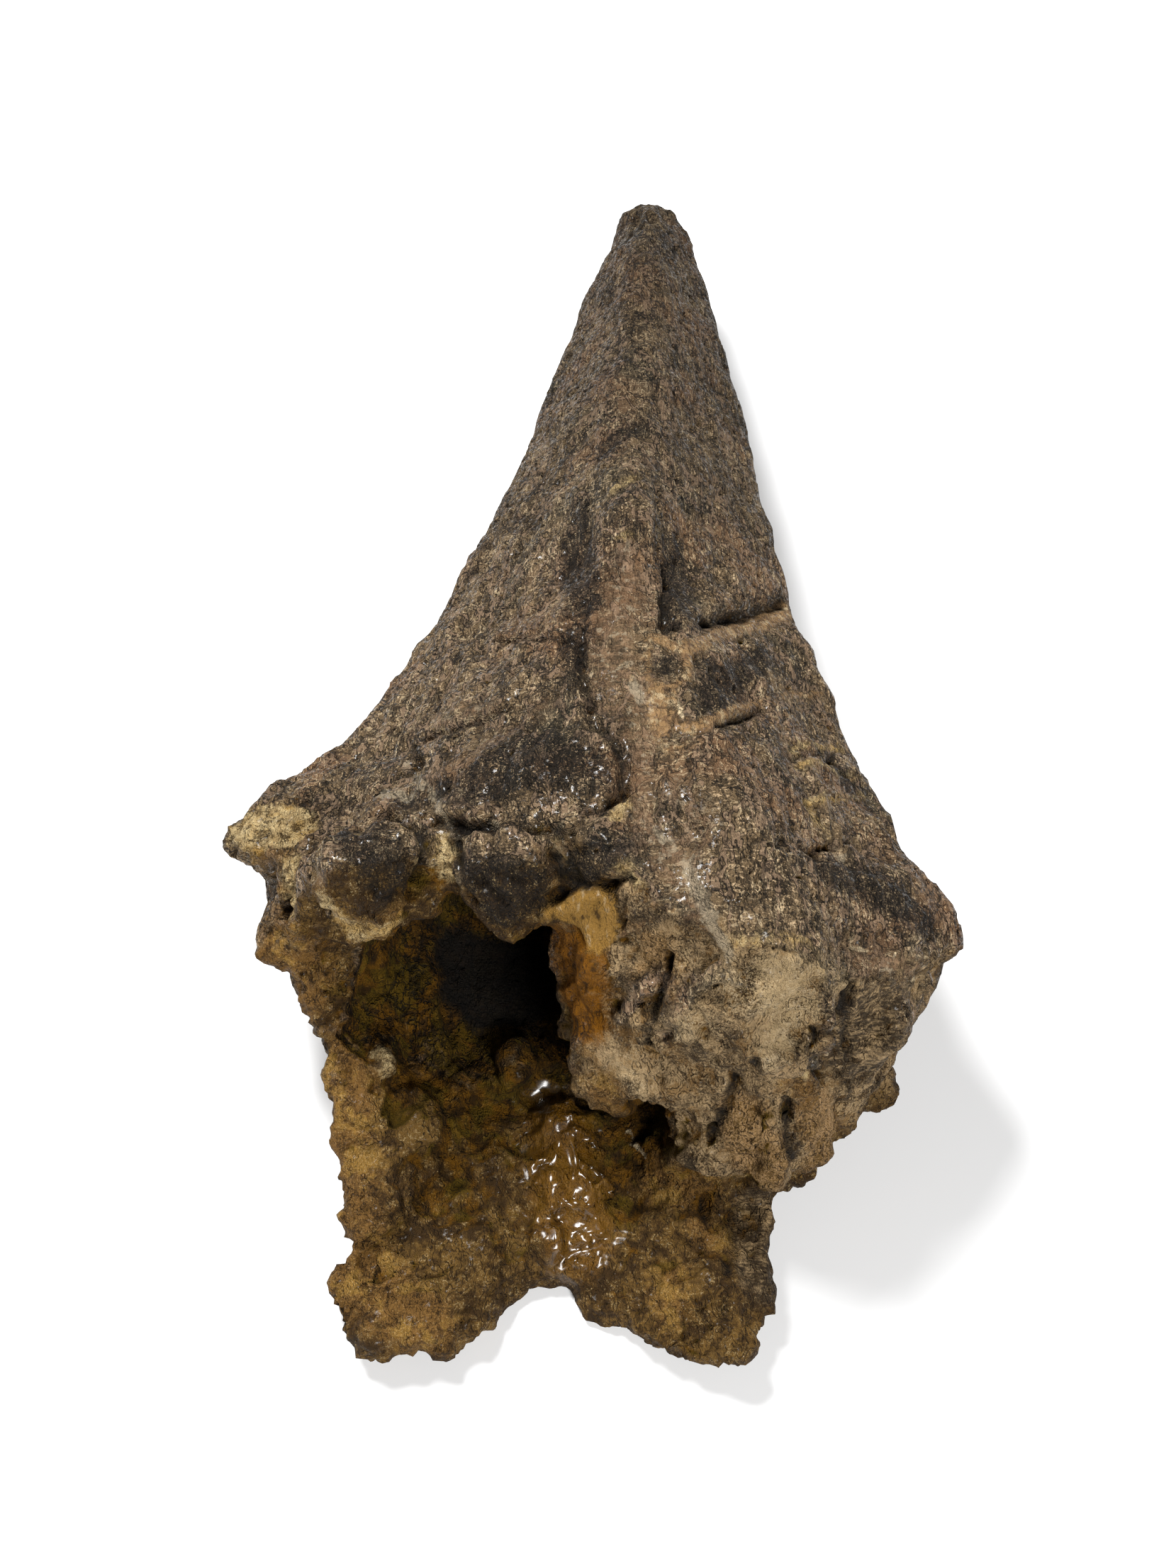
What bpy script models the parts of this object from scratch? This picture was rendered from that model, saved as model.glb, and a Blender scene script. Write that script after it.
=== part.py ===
"""A fossil ankylosaur scute: one hollow, spike-shaped bone from the animal's armour.

The bone lies on its belly with the spike pointing along +Y. Its broken base faces -Y, so the hollow
opens towards -Y. It is a single piece, so the script makes a single object.

The forms are modelled first, as a maker would block them out: a lofted horn, a lofted hollow, the
pieces that have broken away and the knobs that stand on the rim. They are then fused into one
skin, dented and roughened, and thinned to a few thousand faces. Tables are in millimetres.
"""

import math
from typing import NamedTuple

import bmesh
import bpy
import numpy as np
from mathutils import Matrix, Vector, noise

MM = 0.001

# The skin that all the forms are fused into, and what is left of it.
FUSE_VOXEL = 1.5 * MM
SOFTEN_STEPS = 3
SOFTEN_FACTOR = 0.5
FACE_BUDGET = 9400
SHARP_ANGLE = math.radians(50)
LOFT_SMOOTHING = 2
RIDGE_WIDTH_SHARE = 0.15
MARGIN_CREASE = 0.75
RIDGE_CREASE = 0.35

# How a cross-section of the horn is shaped between its margins, its ridge and its belly. Each pair is
# a share of the way across to the belly and a share of the way down to it.
SHOULDER_SHARE = 0.5
LEFT_FLANK = ((0.6, 0.3), (1.0, 0.85))
RIGHT_FLANK = ((0.45, 0.35), (1.0, 0.85))
BELLY_INSET_SHARE = 1 / 6

# How a cross-section of the hollow is rounded: the height and the inset of its upper corners, and
# how far its floor rises at the sides and sags in the middle, in millimetres.
VAULT_HEIGHT_SHARE = 0.88
VAULT_INSET_SHARE = 0.3
FLOOR_RISE = 3.0
FLOOR_SAG = 1.0

# How far the belly is worn flat where it rests.
WORN_DEPTH = 1.0 * MM

BONE_COLOUR = (0.105, 0.078, 0.058, 1.0)
BONE_ROUGHNESS = 0.6


class HornRing(NamedTuple):
    """One cross-section of the outside, at y. Margins are the two sharp side edges."""

    y: float
    left: float
    right: float
    margin_z: float
    ridge_x: float
    ridge_z: float
    belly_left: float
    belly_right: float
    belly_z: float
    fullness: float


class HollowRing(NamedTuple):
    """One cross-section of the hollow, at y."""

    y: float
    left: float
    right: float
    floor_left: float
    floor_right: float
    floor_z: float
    ceiling_z: float


class Lump(NamedTuple):
    """An egg-shaped form: centre, half sizes and a lean about Y in degrees."""

    centre: tuple
    half: tuple
    lean: float


class Dent(NamedTuple):
    """A soft push along the surface's normal. A negative depth raises the surface."""

    centre: tuple
    reach: tuple
    depth: float


class Groove(NamedTuple):
    """A furrow along a line of points."""

    line: tuple
    half_width: float
    depth: float


HORN = (
    HornRing(188, 8, 25, 31, 15, 34.5, 10, 22, 23, 0.16),
    HornRing(187, 7, 26, 31, 15, 36.5, 10, 22, 22, 0.16),
    HornRing(183, 6.5, 26, 31, 15, 40, 9, 22, 20, 0.16),
    HornRing(170, 3, 30, 32, 15, 44, 7, 26, 13, 0.15),
    HornRing(145, -3.5, 34, 33, 14, 50, 1, 30, 6, 0.14),
    HornRing(115, -10.5, 37.5, 36, 11, 56, -4, 32, 0, 0.12),
    HornRing(88, -17.5, 40, 39, 9, 62, -9, 34, -1, 0.09),
    HornRing(60, -26, 43.5, 41, 8, 68, -16, 37, -1, 0.05),
    HornRing(34, -37, 48, 43, 8, 73, -24, 40, -1, 0.03),
    HornRing(10, -50, 54, 45, 10, 78, -33, 43, -1, 0.03),
    HornRing(-10, -61.5, 60, 47, 13, 82, -42, 45, -1, 0.03),
    HornRing(-26, -86, 67, 48, 15, 84, -47, 48, -1, 0.04),
    HornRing(-47, -80, 76, 50, 20, 84, -49, 54, -1, 0.06),
    HornRing(-72, -70, 73, 48, 25, 82, -53, 54, -1, 0.08),
    HornRing(-98, -60, 52, 40, 22, 74, -53, 37, -1, 0.1),
    HornRing(-128, -58, 44, 36, 16, 66, -53, 36, -1, 0.1),
)

HOLLOW = (
    HollowRing(88, 6, 16, 8, 14, 25, 36),
    HollowRing(66, -5, 23, -2, 20, 17, 46),
    HollowRing(36, -22, 31, -16, 26, 12, 56),
    HollowRing(4, -38, 37, -28, 31, 9, 63),
    HollowRing(-26, -47, 37, -37, 31, 8, 65),
    HollowRing(-48, -51, 22, -42, 26, 8, 63),
    HollowRing(-66, -50, 1, -42, 24, 8, 62),
    HollowRing(-84, -46, 4, -38, 26, 9, 60),
    HollowRing(-108, -44, 12, -36, 27, 9, 60),
    HollowRing(-140, -42, 14, -34, 26, 8, 60),
)

# Side view, as (y, z), of the break through the roof and the left wall, down to the floor.
LEFT_BREAK = ((-44, 120), (-45, 66), (-46, 48), (-47, 34), (-54, 28), (-63, 23), (-82, 17), (-92, 12),
              (-106, 10), (-150, 9), (-150, 120))
LEFT_BREAK_END_X = 1.0
FAR_LEFT_X = -100.0

# Plan views, as (x, y), of the break across the right of the base, near the floor and at the roof.
BASE_BREAK_LOW = ((-3, -60), (-2, -66), (8, -77), (19, -86), (30, -87), (40, -84), (47, -79), (58, -70),
                  (67, -60), (95, -40), (95, -150), (-3, -150))
BASE_BREAK_HIGH = ((-3, -44), (3, -50), (9, -57), (16, -63), (25, -68), (36, -67), (47, -64), (58, -58),
                   (68, -53), (95, -38), (95, -150), (-3, -150))
BASE_BREAK_Z = (10, 82)

# Plan views of the left wing snapped off the roof, low down and high up, and of the torn front of
# the floor.
LEFT_WING_BREAK_LOW = ((-90, -20), (-77, -20.5), (-71, -22.5), (-62, -28.5), (-57, -37), (-56, -48),
                       (-50, -60), (-54, -110), (-90, -110))
LEFT_WING_BREAK_HIGH = ((-90, -40), (-77, -40), (-72, -42), (-63, -44), (-57, -45), (-56, -48),
                        (-50, -60), (-54, -110), (-90, -110))
LEFT_WING_BREAK_Z = (37, 120)
FLOOR_BREAK = ((-90, -41), (-60, -44), (-54, -50), (-53, -58), (-55, -68), (-52, -75), (-50, -82),
               (-43, -87), (-46, -93), (-53, -101), (-52, -109), (-45, -113), (-36, -115), (-27, -116),
               (-21, -111), (-17, -106), (-12, -100), (-6, -98), (-3, -100), (-2, -104), (3, -108),
               (5, -106), (9, -110), (16, -115), (22, -117.5), (28, -115.5), (37, -108), (38, -92),
               (38, -85), (42.5, -82), (47, -77), (56, -72), (64.5, -62), (67, -53), (90, -44), (90, -150),
               (-90, -150))
FLOOR_BREAK_Z = (-20, 120)

KNOBS = (
    # The nodules that hang from the broken edge of the roof.
    Lump((-43, -42, 64), (12, 9, 10), 10),
    Lump((-46, -44, 61), (8, 7, 7), 20),
    Lump((-37, -43, 64), (7, 7, 8), 0),
    Lump((-15, -44, 66), (10, 8, 9), -6),
    Lump((-14, -46, 62), (6.5, 6, 7), 0),
    Lump((3, -45, 72), (7, 7, 7), 0),
    Lump((-7, -43, 72), (8, 7, 6), 0),
    # The granular stump of the left wall.
    Lump((-59, -37, 35), (6, 7, 8), 14),
    Lump((-54, -44, 30), (5, 7, 7), 0),
    Lump((-62, -25, 47), (7, 3, 5), 12),
    # The spongy bone across the right of the base.
    Lump((27, -70, 50), (20, 9, 26), -10),
    Lump((53, -60, 34), (9, 9, 18), 18),
    Lump((57.5, -61, 18), (8, 8, 10), 0),
    Lump((40, -77, 18), (9, 7, 9), 0),
    Lump((29, -79, 18), (12, 8, 11), 0),
    Lump((7, -68, 36), (9, 6, 15), 8),
    # What lies on the floor of the hollow, with its left edge and its two lobes.
    Lump((-3, -76, 8), (11, 17, 6), 0),
    Lump((-7, -90, 7), (9, 8, 5), 0),
    Lump((-15, -53, 10), (6, 8, 5), 0),
    Lump((-34, -70, 13), (6, 8, 6), 0),
    Lump((-43, -56, 19), (5, 7, 6), 0),
    Lump((-43, -84, 12), (6, 10, 7), 0),
    Lump((-36, -104, 8), (13, 10, 5), 0),
    Lump((20, -88, 10), (6, 9, 6), 0),
    Lump((26, -103, 8), (10, 11, 5), 0),
)

DENTS = (
    Dent((-3, 38, 68), (8, 17, 14), 3.5),
    Dent((20, 34, 65), (7, 14, 14), 3.2),
    Dent((9, 42, 72), (6, 22, 12), -2.2),
    Dent((15, 1, 75), (5, 6, 8), 1.8),
    Dent((30, 30, 62), (9, 8, 12), -1.4),
    Dent((36, 2, 62), (9, 9, 12), -1.6),
    Dent((53, 2, 52), (5, 7, 6), 1.8),
    Dent((-52, -22, 58), (8, 12, 10), 2.0),
    Dent((-17, -22, 75), (14, 10, 10), -1.6),
    Dent((66, -53, 43), (10, 8, 2.5), 4.0),
    Dent((11, -74, 27), (3, 7, 7), 4.5),
    Dent((38, -70, 55), (4, 6, 4), 2.5),
    Dent((-30, -84, 9), (7, 12, 8), 2.5),
    Dent((-44, -52, 26), (6, 8, 9), 3.0),
)

GROOVES = (
    # Filled cracks across the right flank, and the smooth band down the crest.
    Groove(((18, 12, 71), (30, 21, 63), (45, 43, 43)), 2.4, 1.6),
    Groove(((18, -17, 76), (30, -2, 67), (51, 13, 47)), 2.4, 1.5),
    Groove(((9, 28, 74), (12, -10, 80), (13, -35, 83), (16, -54, 82), (22, -62, 80)), 6.0, 1.3),
    Groove(((14, -40, 83), (38, -36, 70), (62, -32, 55)), 2.2, 1.2),
    Groove(((46, -64, 70), (58, -58, 57), (68, -53, 45)), 3.0, 2.2),
    # Cracks that run back over the roof from between the nodules.
    Groove(((-28, -42, 68), (-31, -30, 68), (-38, -16, 63)), 3.0, 2.6),
    Groove(((-50, -4, 50), (-32, -8, 64), (-10, -4, 76)), 2.6, 1.3),
    # The crevice beside the right column, and a slanting furrow.
    Groove(((45, -70, 62), (47, -73, 48), (47, -78, 34), (44, -82, 22)), 2.8, 5.5),
    Groove(((38, -76, 46), (32, -80, 36), (28, -84, 26)), 2.4, 2.4),
)

# Rough patches, where the bone is broken open: centre, reach and height.
BROKEN_PATCHES = (
    Dent((30, -75, 40), (38, 18, 32), 3.6),
    Dent((-60, -40, 38), (16, 14, 18), 2.6),
    Dent((-30, -48, 60), (34, 12, 12), 2.4),
    Dent((-8, -92, 8), (52, 30, 16), 2.6),
)
BROKEN_GRAIN = 7.0
GRAIN_SEED = 5.0
GRAIN_LEVEL = 0.25

# Three sizes of roughness: (size of the lumps, height, seed offset).
ROUGHNESS = ((26.0, 3.0, 3.0), (11.0, 1.9, 17.0), (6.0, 0.9, 41.0))
KNOB_UNEVENNESS = 0.5
KNOB_PATTERN = 1.7
KNOB_SEED_STEP = 7.3
DENT_FALLOFF = 1.5

# The spike is smoother than the base: from one y to the next, the roughness fades to a share.
CALM_FROM_Y = -20.0
CALM_TO_Y = 60.0
CALM_SHARE = 0.4

# The belly is smoother: below this height, down to its depth, the weathering fades to a share.
BELLY_HEIGHT = 14.0
BELLY_DEPTH = 3.0
BELLY_SHARE = 0.2


def clear_scene():
    for obj in list(bpy.data.objects):
        bpy.data.objects.remove(obj, do_unlink=True)


def object_from(name, bm):
    """A new object that holds the bmesh, with its faces pointing out."""
    bmesh.ops.recalc_face_normals(bm, faces=bm.faces)
    mesh = bpy.data.meshes.new(name)
    bm.to_mesh(mesh)
    bm.free()
    obj = bpy.data.objects.new(name, mesh)
    bpy.context.scene.collection.objects.link(obj)
    return obj


def bake_modifiers(obj):
    """Replaces the object's mesh with what its modifiers make of it."""
    graph = bpy.context.evaluated_depsgraph_get()
    made = bpy.data.meshes.new_from_object(obj.evaluated_get(graph))
    obj.modifiers.clear()
    obj.data = made


def loft(name, rings, creased=()):
    """A closed body through rings of equal length. creased pairs a column of points with a crease."""
    bm = bmesh.new()
    rows = [[bm.verts.new(Vector(point) * MM) for point in ring] for ring in rings]
    count = len(rows[0])
    for near, far in zip(rows, rows[1:]):
        for k in range(count):
            bm.faces.new((near[k], near[(k + 1) % count], far[(k + 1) % count], far[k]))
    bm.faces.new(rows[0])
    bm.faces.new(rows[-1])
    crease = bm.edges.layers.float.new("crease_edge")
    for column, strength in creased:
        for near, far in zip(rows, rows[1:]):
            bm.edges.get((near[column], far[column]))[crease] = strength
    obj = object_from(name, bm)
    smooth = obj.modifiers.new("Round the loft", "SUBSURF")
    smooth.levels = smooth.render_levels = LOFT_SMOOTHING
    bake_modifiers(obj)
    return obj


def between(a, b, share):
    return a + (b - a) * share


def horn_points(ring):
    """Twelve points round a cross-section of the horn, from the right margin over the ridge."""
    top, rise = ring.ridge_z, ring.fullness * (ring.ridge_z - ring.margin_z)

    def shoulder(margin):
        height = between(ring.margin_z, top, SHOULDER_SHARE) + rise
        return (between(margin, ring.ridge_x, SHOULDER_SHARE), ring.y, height)

    def flank(margin, belly, shares):
        return (between(margin, belly, shares[0]), ring.y, between(ring.margin_z, ring.belly_z, shares[1]))

    half = RIDGE_WIDTH_SHARE / 2 * (ring.right - ring.left)
    inset = (ring.belly_right - ring.belly_left) * BELLY_INSET_SHARE
    return (
        (ring.right, ring.y, ring.margin_z),
        shoulder(ring.right),
        (ring.ridge_x + half, ring.y, top),
        (ring.ridge_x - half, ring.y, top),
        shoulder(ring.left),
        (ring.left, ring.y, ring.margin_z),
        flank(ring.left, ring.belly_left, LEFT_FLANK[0]),
        flank(ring.left, ring.belly_left, LEFT_FLANK[1]),
        (ring.belly_left + inset, ring.y, ring.belly_z),
        (ring.belly_right - inset, ring.y, ring.belly_z),
        flank(ring.right, ring.belly_right, RIGHT_FLANK[1]),
        flank(ring.right, ring.belly_right, RIGHT_FLANK[0]),
    )


def hollow_points(ring):
    """Eight points round a cross-section of the hollow, from its right wall over the ceiling."""
    middle_x = (ring.left + ring.right) / 2
    middle_z = between(ring.floor_z, ring.ceiling_z, 0.5)
    high_z = between(ring.floor_z, ring.ceiling_z, VAULT_HEIGHT_SHARE)
    return (
        (ring.right, ring.y, middle_z),
        (between(ring.right, middle_x, VAULT_INSET_SHARE), ring.y, high_z),
        (middle_x, ring.y, ring.ceiling_z),
        (between(ring.left, middle_x, VAULT_INSET_SHARE), ring.y, high_z),
        (ring.left, ring.y, middle_z),
        (ring.floor_left, ring.y, ring.floor_z + FLOOR_RISE),
        ((ring.floor_left + ring.floor_right) / 2, ring.y, ring.floor_z - FLOOR_SAG),
        (ring.floor_right, ring.y, ring.floor_z + FLOOR_RISE),
    )


def cutter(name, low, high, heights):
    """A block between two outlines of (x, y) points, one at each height."""
    bm = bmesh.new()
    near, far = ([bm.verts.new(Vector((x, y, z)) * MM) for x, y in outline]
                 for outline, z in zip((low, high), heights))
    count = len(low)
    for k in range(count):
        bm.faces.new((near[k], near[(k + 1) % count], far[(k + 1) % count], far[k]))
    bm.faces.new(near)
    bm.faces.new(far)
    bmesh.ops.triangulate(bm, faces=bm.faces)
    return object_from(name, bm)


def side_cutter(name, outline, end_x):
    """A block cut from the side: everything left of end_x and inside an outline of (y, z) points."""
    bm = bmesh.new()
    near, far = ([bm.verts.new(Vector((x, y, z)) * MM) for y, z in outline] for x in (FAR_LEFT_X, end_x))
    count = len(outline)
    for k in range(count):
        bm.faces.new((near[k], near[(k + 1) % count], far[(k + 1) % count], far[k]))
    bm.faces.new(near)
    bm.faces.new(far)
    return object_from(name, bm)


def lump(name, form, seed):
    """An egg-shaped form with an uneven skin."""
    bm = bmesh.new()
    bmesh.ops.create_icosphere(bm, subdivisions=3, radius=1.0)
    turn = Matrix.Rotation(math.radians(form.lean), 3, "Y")
    for vert in bm.verts:
        swell = 1 + KNOB_UNEVENNESS * noise.noise(vert.co * KNOB_PATTERN + Vector((seed, 0, 0)))
        vert.co = (Vector(form.centre) + turn @ Vector(np.multiply(vert.co, form.half)) * swell) * MM
    return object_from(name, bm)


def combine(body, tools, operation):
    """Cuts the tools from the body, or joins them to it, and deletes them."""
    for tool in tools:
        step = body.modifiers.new(tool.name, "BOOLEAN")
        step.operation = operation
        step.solver = "EXACT"
        step.object = tool
    bake_modifiers(body)
    for tool in tools:
        bpy.data.objects.remove(tool, do_unlink=True)


def block_out():
    """The main forms, with the break surfaces cut and the knobs joined on."""
    body = loft("scute", [horn_points(r) for r in HORN],
                ((0, MARGIN_CREASE), (5, MARGIN_CREASE), (2, RIDGE_CREASE), (3, RIDGE_CREASE)))
    combine(body, [
        side_cutter("left break", LEFT_BREAK, LEFT_BREAK_END_X),
        cutter("base break", BASE_BREAK_LOW, BASE_BREAK_HIGH, BASE_BREAK_Z),
        cutter("wing break", LEFT_WING_BREAK_LOW, LEFT_WING_BREAK_HIGH, LEFT_WING_BREAK_Z),
        cutter("floor break", FLOOR_BREAK, FLOOR_BREAK, FLOOR_BREAK_Z),
        loft("hollow", [hollow_points(r) for r in HOLLOW]),
    ], "DIFFERENCE")
    combine(body, [lump(f"knob {k}", form, KNOB_SEED_STEP * k) for k, form in enumerate(KNOBS)], "UNION")
    return body


def largest_island(bm):
    """Deletes every loose scrap, so that one closed skin is left."""
    unseen, islands = set(bm.verts), []
    while unseen:
        island, edge_of_it = set(), [unseen.pop()]
        while edge_of_it:
            vert = edge_of_it.pop()
            island.add(vert)
            near = [edge.other_vert(vert) for edge in vert.link_edges]
            fresh = [v for v in near if v in unseen]
            unseen.difference_update(fresh)
            edge_of_it.extend(fresh)
        islands.append(island)
    keep = max(islands, key=len)
    scraps = [vert for vert in bm.verts if vert not in keep]
    bmesh.ops.delete(bm, geom=scraps, context="VERTS")


def fuse(body):
    """One even skin over the joined forms."""
    remesh = body.modifiers.new("Fuse", "REMESH")
    remesh.mode = "VOXEL"
    remesh.voxel_size = FUSE_VOXEL
    soften = body.modifiers.new("Soften", "SMOOTH")
    soften.factor = SOFTEN_FACTOR
    soften.iterations = SOFTEN_STEPS
    bake_modifiers(body)
    bm = bmesh.new()
    bm.from_mesh(body.data)
    largest_island(bm)
    bm.to_mesh(body.data)
    bm.free()


def nearness(points, spot):
    """1 at the middle of a soft spot, falling to 0 past its reach."""
    away = (points - spot.centre) / spot.reach
    return np.exp(-(away ** 2).sum(1) * DENT_FALLOFF)


def distance_to_line(points, line):
    nearest = np.full(len(points), np.inf)
    for start, end in zip(np.array(line, float), np.array(line[1:], float)):
        along = np.clip((points - start) @ (end - start) / ((end - start) @ (end - start)), 0, 1)
        nearest = np.minimum(nearest, np.linalg.norm(points - start - along[:, None] * (end - start), axis=1))
    return nearest


def lumpiness(points, size, offset):
    shift = Vector((offset, offset, offset))
    return np.array([noise.noise(Vector(point) / size + shift) for point in points])


def push_on(points):
    """How far the weathering moves each point along its normal, in millimetres."""
    push = np.zeros(len(points))
    for dent in DENTS:
        push -= dent.depth * nearness(points, dent)
    for groove in GROOVES:
        push -= groove.depth * np.exp(-(distance_to_line(points, groove.line) / groove.half_width) ** 2)
    calm = np.interp(points[:, 1], (CALM_FROM_Y, CALM_TO_Y), (1, CALM_SHARE))
    for size, height, offset in ROUGHNESS:
        push += calm * height * lumpiness(points, size, offset)
    grain = np.abs(lumpiness(points, BROKEN_GRAIN, GRAIN_SEED)) - GRAIN_LEVEL
    for patch in BROKEN_PATCHES:
        push -= 2 * patch.depth * grain * nearness(points, patch)
    return push * np.clip((points[:, 2] + BELLY_DEPTH) / BELLY_HEIGHT, BELLY_SHARE, 1)


def weather(body):
    """Dents and roughens the skin along its own normals."""
    mesh = body.data
    points = np.empty(len(mesh.vertices) * 3)
    normals = np.empty(len(mesh.vertices) * 3)
    mesh.vertices.foreach_get("co", points)
    mesh.vertices.foreach_get("normal", normals)
    points = points.reshape(-1, 3) / MM
    moved = (points + normals.reshape(-1, 3) * push_on(points)[:, None]) * MM
    mesh.vertices.foreach_set("co", moved.ravel())
    mesh.update()


def thin_out(body):
    """Leaves the faces that the shape needs."""
    thin = body.modifiers.new("Thin out", "DECIMATE")
    thin.ratio = FACE_BUDGET / sum(len(face.vertices) - 2 for face in body.data.polygons)
    thin.use_collapse_triangulate = True
    bake_modifiers(body)


def settle(body):
    """Wears the belly flat where it rests, and puts the origin at the middle of the base."""
    points = np.array([vert.co for vert in body.data.vertices])
    floor = points[:, 2].min() + WORN_DEPTH
    points[:, 2] = np.maximum(points[:, 2], floor)
    low, high = points.min(0), points.max(0)
    middle = ((low[0] + high[0]) / 2, (low[1] + high[1]) / 2, floor)
    points -= middle
    print("Origin taken from", [round(float(value) / MM, 2) for value in middle])
    body.data.vertices.foreach_set("co", points.ravel())
    body.data.update()


def bone_material():
    material = bpy.data.materials.new("fossil bone")
    material.use_nodes = True
    shader = material.node_tree.nodes["Principled BSDF"]
    shader.inputs["Base Color"].default_value = BONE_COLOUR
    shader.inputs["Roughness"].default_value = BONE_ROUGHNESS
    shader.inputs["Metallic"].default_value = 0.0
    return material


def main():
    clear_scene()
    scute = block_out()
    fuse(scute)
    weather(scute)
    thin_out(scute)
    settle(scute)
    scute.data.materials.clear()
    scute.data.materials.append(bone_material())
    scute.data.shade_smooth()
    scute.data.set_sharp_from_angle(angle=SHARP_ANGLE)


main()
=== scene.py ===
# %% [markdown]
# A fossil ankylosaur scute, dressed for the camera.
# The real object is one bone: a hollow horn from the animal's armour, now turned to stone. It lies on
# its belly with the tip away from us, so that we look over the crest and down into the broken base.
# The lesson starts from a plain solid of the right shape and size. It gives that solid a fine skin,
# then paints the skin with procedural finishes. Lengths in the lesson's tables are in millimetres.

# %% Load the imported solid
import math

import bmesh
import bpy
import numpy as np
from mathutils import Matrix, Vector, noise
from mathutils.bvhtree import BVHTree


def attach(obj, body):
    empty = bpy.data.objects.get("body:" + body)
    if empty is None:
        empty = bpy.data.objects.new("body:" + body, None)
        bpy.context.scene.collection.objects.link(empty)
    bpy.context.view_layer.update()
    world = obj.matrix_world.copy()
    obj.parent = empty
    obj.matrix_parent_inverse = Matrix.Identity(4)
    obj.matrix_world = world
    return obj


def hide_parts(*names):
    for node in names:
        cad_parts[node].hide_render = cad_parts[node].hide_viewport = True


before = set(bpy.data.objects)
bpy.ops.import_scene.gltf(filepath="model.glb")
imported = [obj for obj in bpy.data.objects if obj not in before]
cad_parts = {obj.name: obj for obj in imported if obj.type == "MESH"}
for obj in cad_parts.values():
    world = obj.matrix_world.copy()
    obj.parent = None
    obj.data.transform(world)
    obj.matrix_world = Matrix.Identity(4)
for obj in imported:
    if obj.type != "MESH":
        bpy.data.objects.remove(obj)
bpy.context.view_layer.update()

MM = 0.001
CAD_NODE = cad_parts["scute"]

# %% [markdown]
# The camera comes first, because the marks on the bone are placed through it. The photograph was
# taken from above and behind the broken base. Its outline fits a 50 mm lens, held a little under half
# a metre away and tilted down by 55 degrees. A point on the photograph is then a ray into the scene,
# and where that ray meets the bone is where the mark goes.

# %% The camera that took the photograph
PHOTO_WIDTH, PHOTO_HEIGHT = 1659, 2212
LENS, SENSOR = 50.0, 36.0
CAMERA_ELEVATION = math.radians(55)
CAMERA_DISTANCE = 0.465
CAMERA_TARGET = Vector((0.0008, -0.0346, 0.0351))
LOOK = Vector((0, math.cos(CAMERA_ELEVATION), -math.sin(CAMERA_ELEVATION)))
PHOTO_UP = Vector((0, math.sin(CAMERA_ELEVATION), math.cos(CAMERA_ELEVATION)))
CAMERA_PLACE = CAMERA_TARGET - LOOK * CAMERA_DISTANCE


def add_camera():
    lens = bpy.data.cameras.new("photo camera")
    lens.lens, lens.sensor_width = LENS, SENSOR
    lens.clip_start = 0.01
    camera = bpy.data.objects.new("photo camera", lens)
    camera.location = CAMERA_PLACE
    camera.rotation_euler = (math.pi / 2 - CAMERA_ELEVATION, 0, 0)
    bpy.context.scene.collection.objects.link(camera)
    bpy.context.scene.camera = camera


def ray_through(x, y):
    """The direction in which the camera sees a pixel of the photograph."""
    pixels = LENS / SENSOR * PHOTO_HEIGHT
    right = (x - PHOTO_WIDTH / 2) / pixels
    up = (PHOTO_HEIGHT / 2 - y) / pixels
    return (LOOK + Vector((right, 0, 0)) + PHOTO_UP * up).normalized()


add_camera()
print("camera", round(CAMERA_DISTANCE / MM), "mm from the middle of the bone")

# %% [markdown]
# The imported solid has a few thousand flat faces, each about 5 mm wide. Real bone has none, so the copy
# is rounded by a subdivision and then rebuilt as an even skin of small squares with a voxel remesh.
# An even skin can take displacement anywhere, which a hand-made mesh can't. The solid stays as it is:
# only the copy changes.

# %% A finer copy of the bone
BASE_VOXEL = 1.3 * MM


def bake_modifiers(piece):
    """Replaces the piece's mesh with what its modifiers make of it."""
    graph = bpy.context.evaluated_depsgraph_get()
    baked = bpy.data.meshes.new_from_object(piece.evaluated_get(graph))
    piece.modifiers.clear()
    piece.data = baked


def add_modifier(piece, name, kind, **settings):
    modifier = piece.modifiers.new(name, kind)
    for setting, value in settings.items():
        setattr(modifier, setting, value)
    return modifier


def merged_copy(node, name):
    """A new object with the node's faces, joined where they meet."""
    bm = bmesh.new()
    bm.from_mesh(node.data)
    bmesh.ops.remove_doubles(bm, verts=bm.verts, dist=0.001 * MM)
    mesh = bpy.data.meshes.new(name)
    bm.to_mesh(mesh)
    bm.free()
    piece = bpy.data.objects.new(name, mesh)
    bpy.context.scene.collection.objects.link(piece)
    return piece


bone = merged_copy(CAD_NODE, "scute_bone")
add_modifier(bone, "Round", "SUBSURF", levels=1, render_levels=1)
add_modifier(bone, "Even skin", "REMESH", mode="VOXEL", voxel_size=BASE_VOXEL)
bake_modifiers(bone)
print("base skin:", len(bone.data.polygons), "faces")

# %% [markdown]
# On the right of the hollow an amber wall runs back from the rim, and a tan wedge of restoration spans
# its top corner. The solid leaves them out, since the hollow there should stay open. Here each is a
# panel of small balls between four corners, fused with the bone by a second voxel remesh. Two corners
# of a panel lie on the rim, and the other two hang deeper in, behind the pixels where they show.

# %% A wall inside the hollow
PANEL_BALL = 1.8 * MM
PANEL_STEPS = 12
WALL_PANELS = [
    ((834, 1278), (846, 1448), (783, 1322), (800, 1452), 15 * MM),
    ((836, 1258), (842, 1334), (774, 1288), (779, 1300), 4 * MM),
]


def tree_of(piece):
    return BVHTree.FromObject(piece, bpy.context.evaluated_depsgraph_get())


def depth_at(tree, pixel):
    """How far from the camera the bone is, behind a pixel."""
    return tree.ray_cast(CAMERA_PLACE, ray_through(*pixel))[3]


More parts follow.
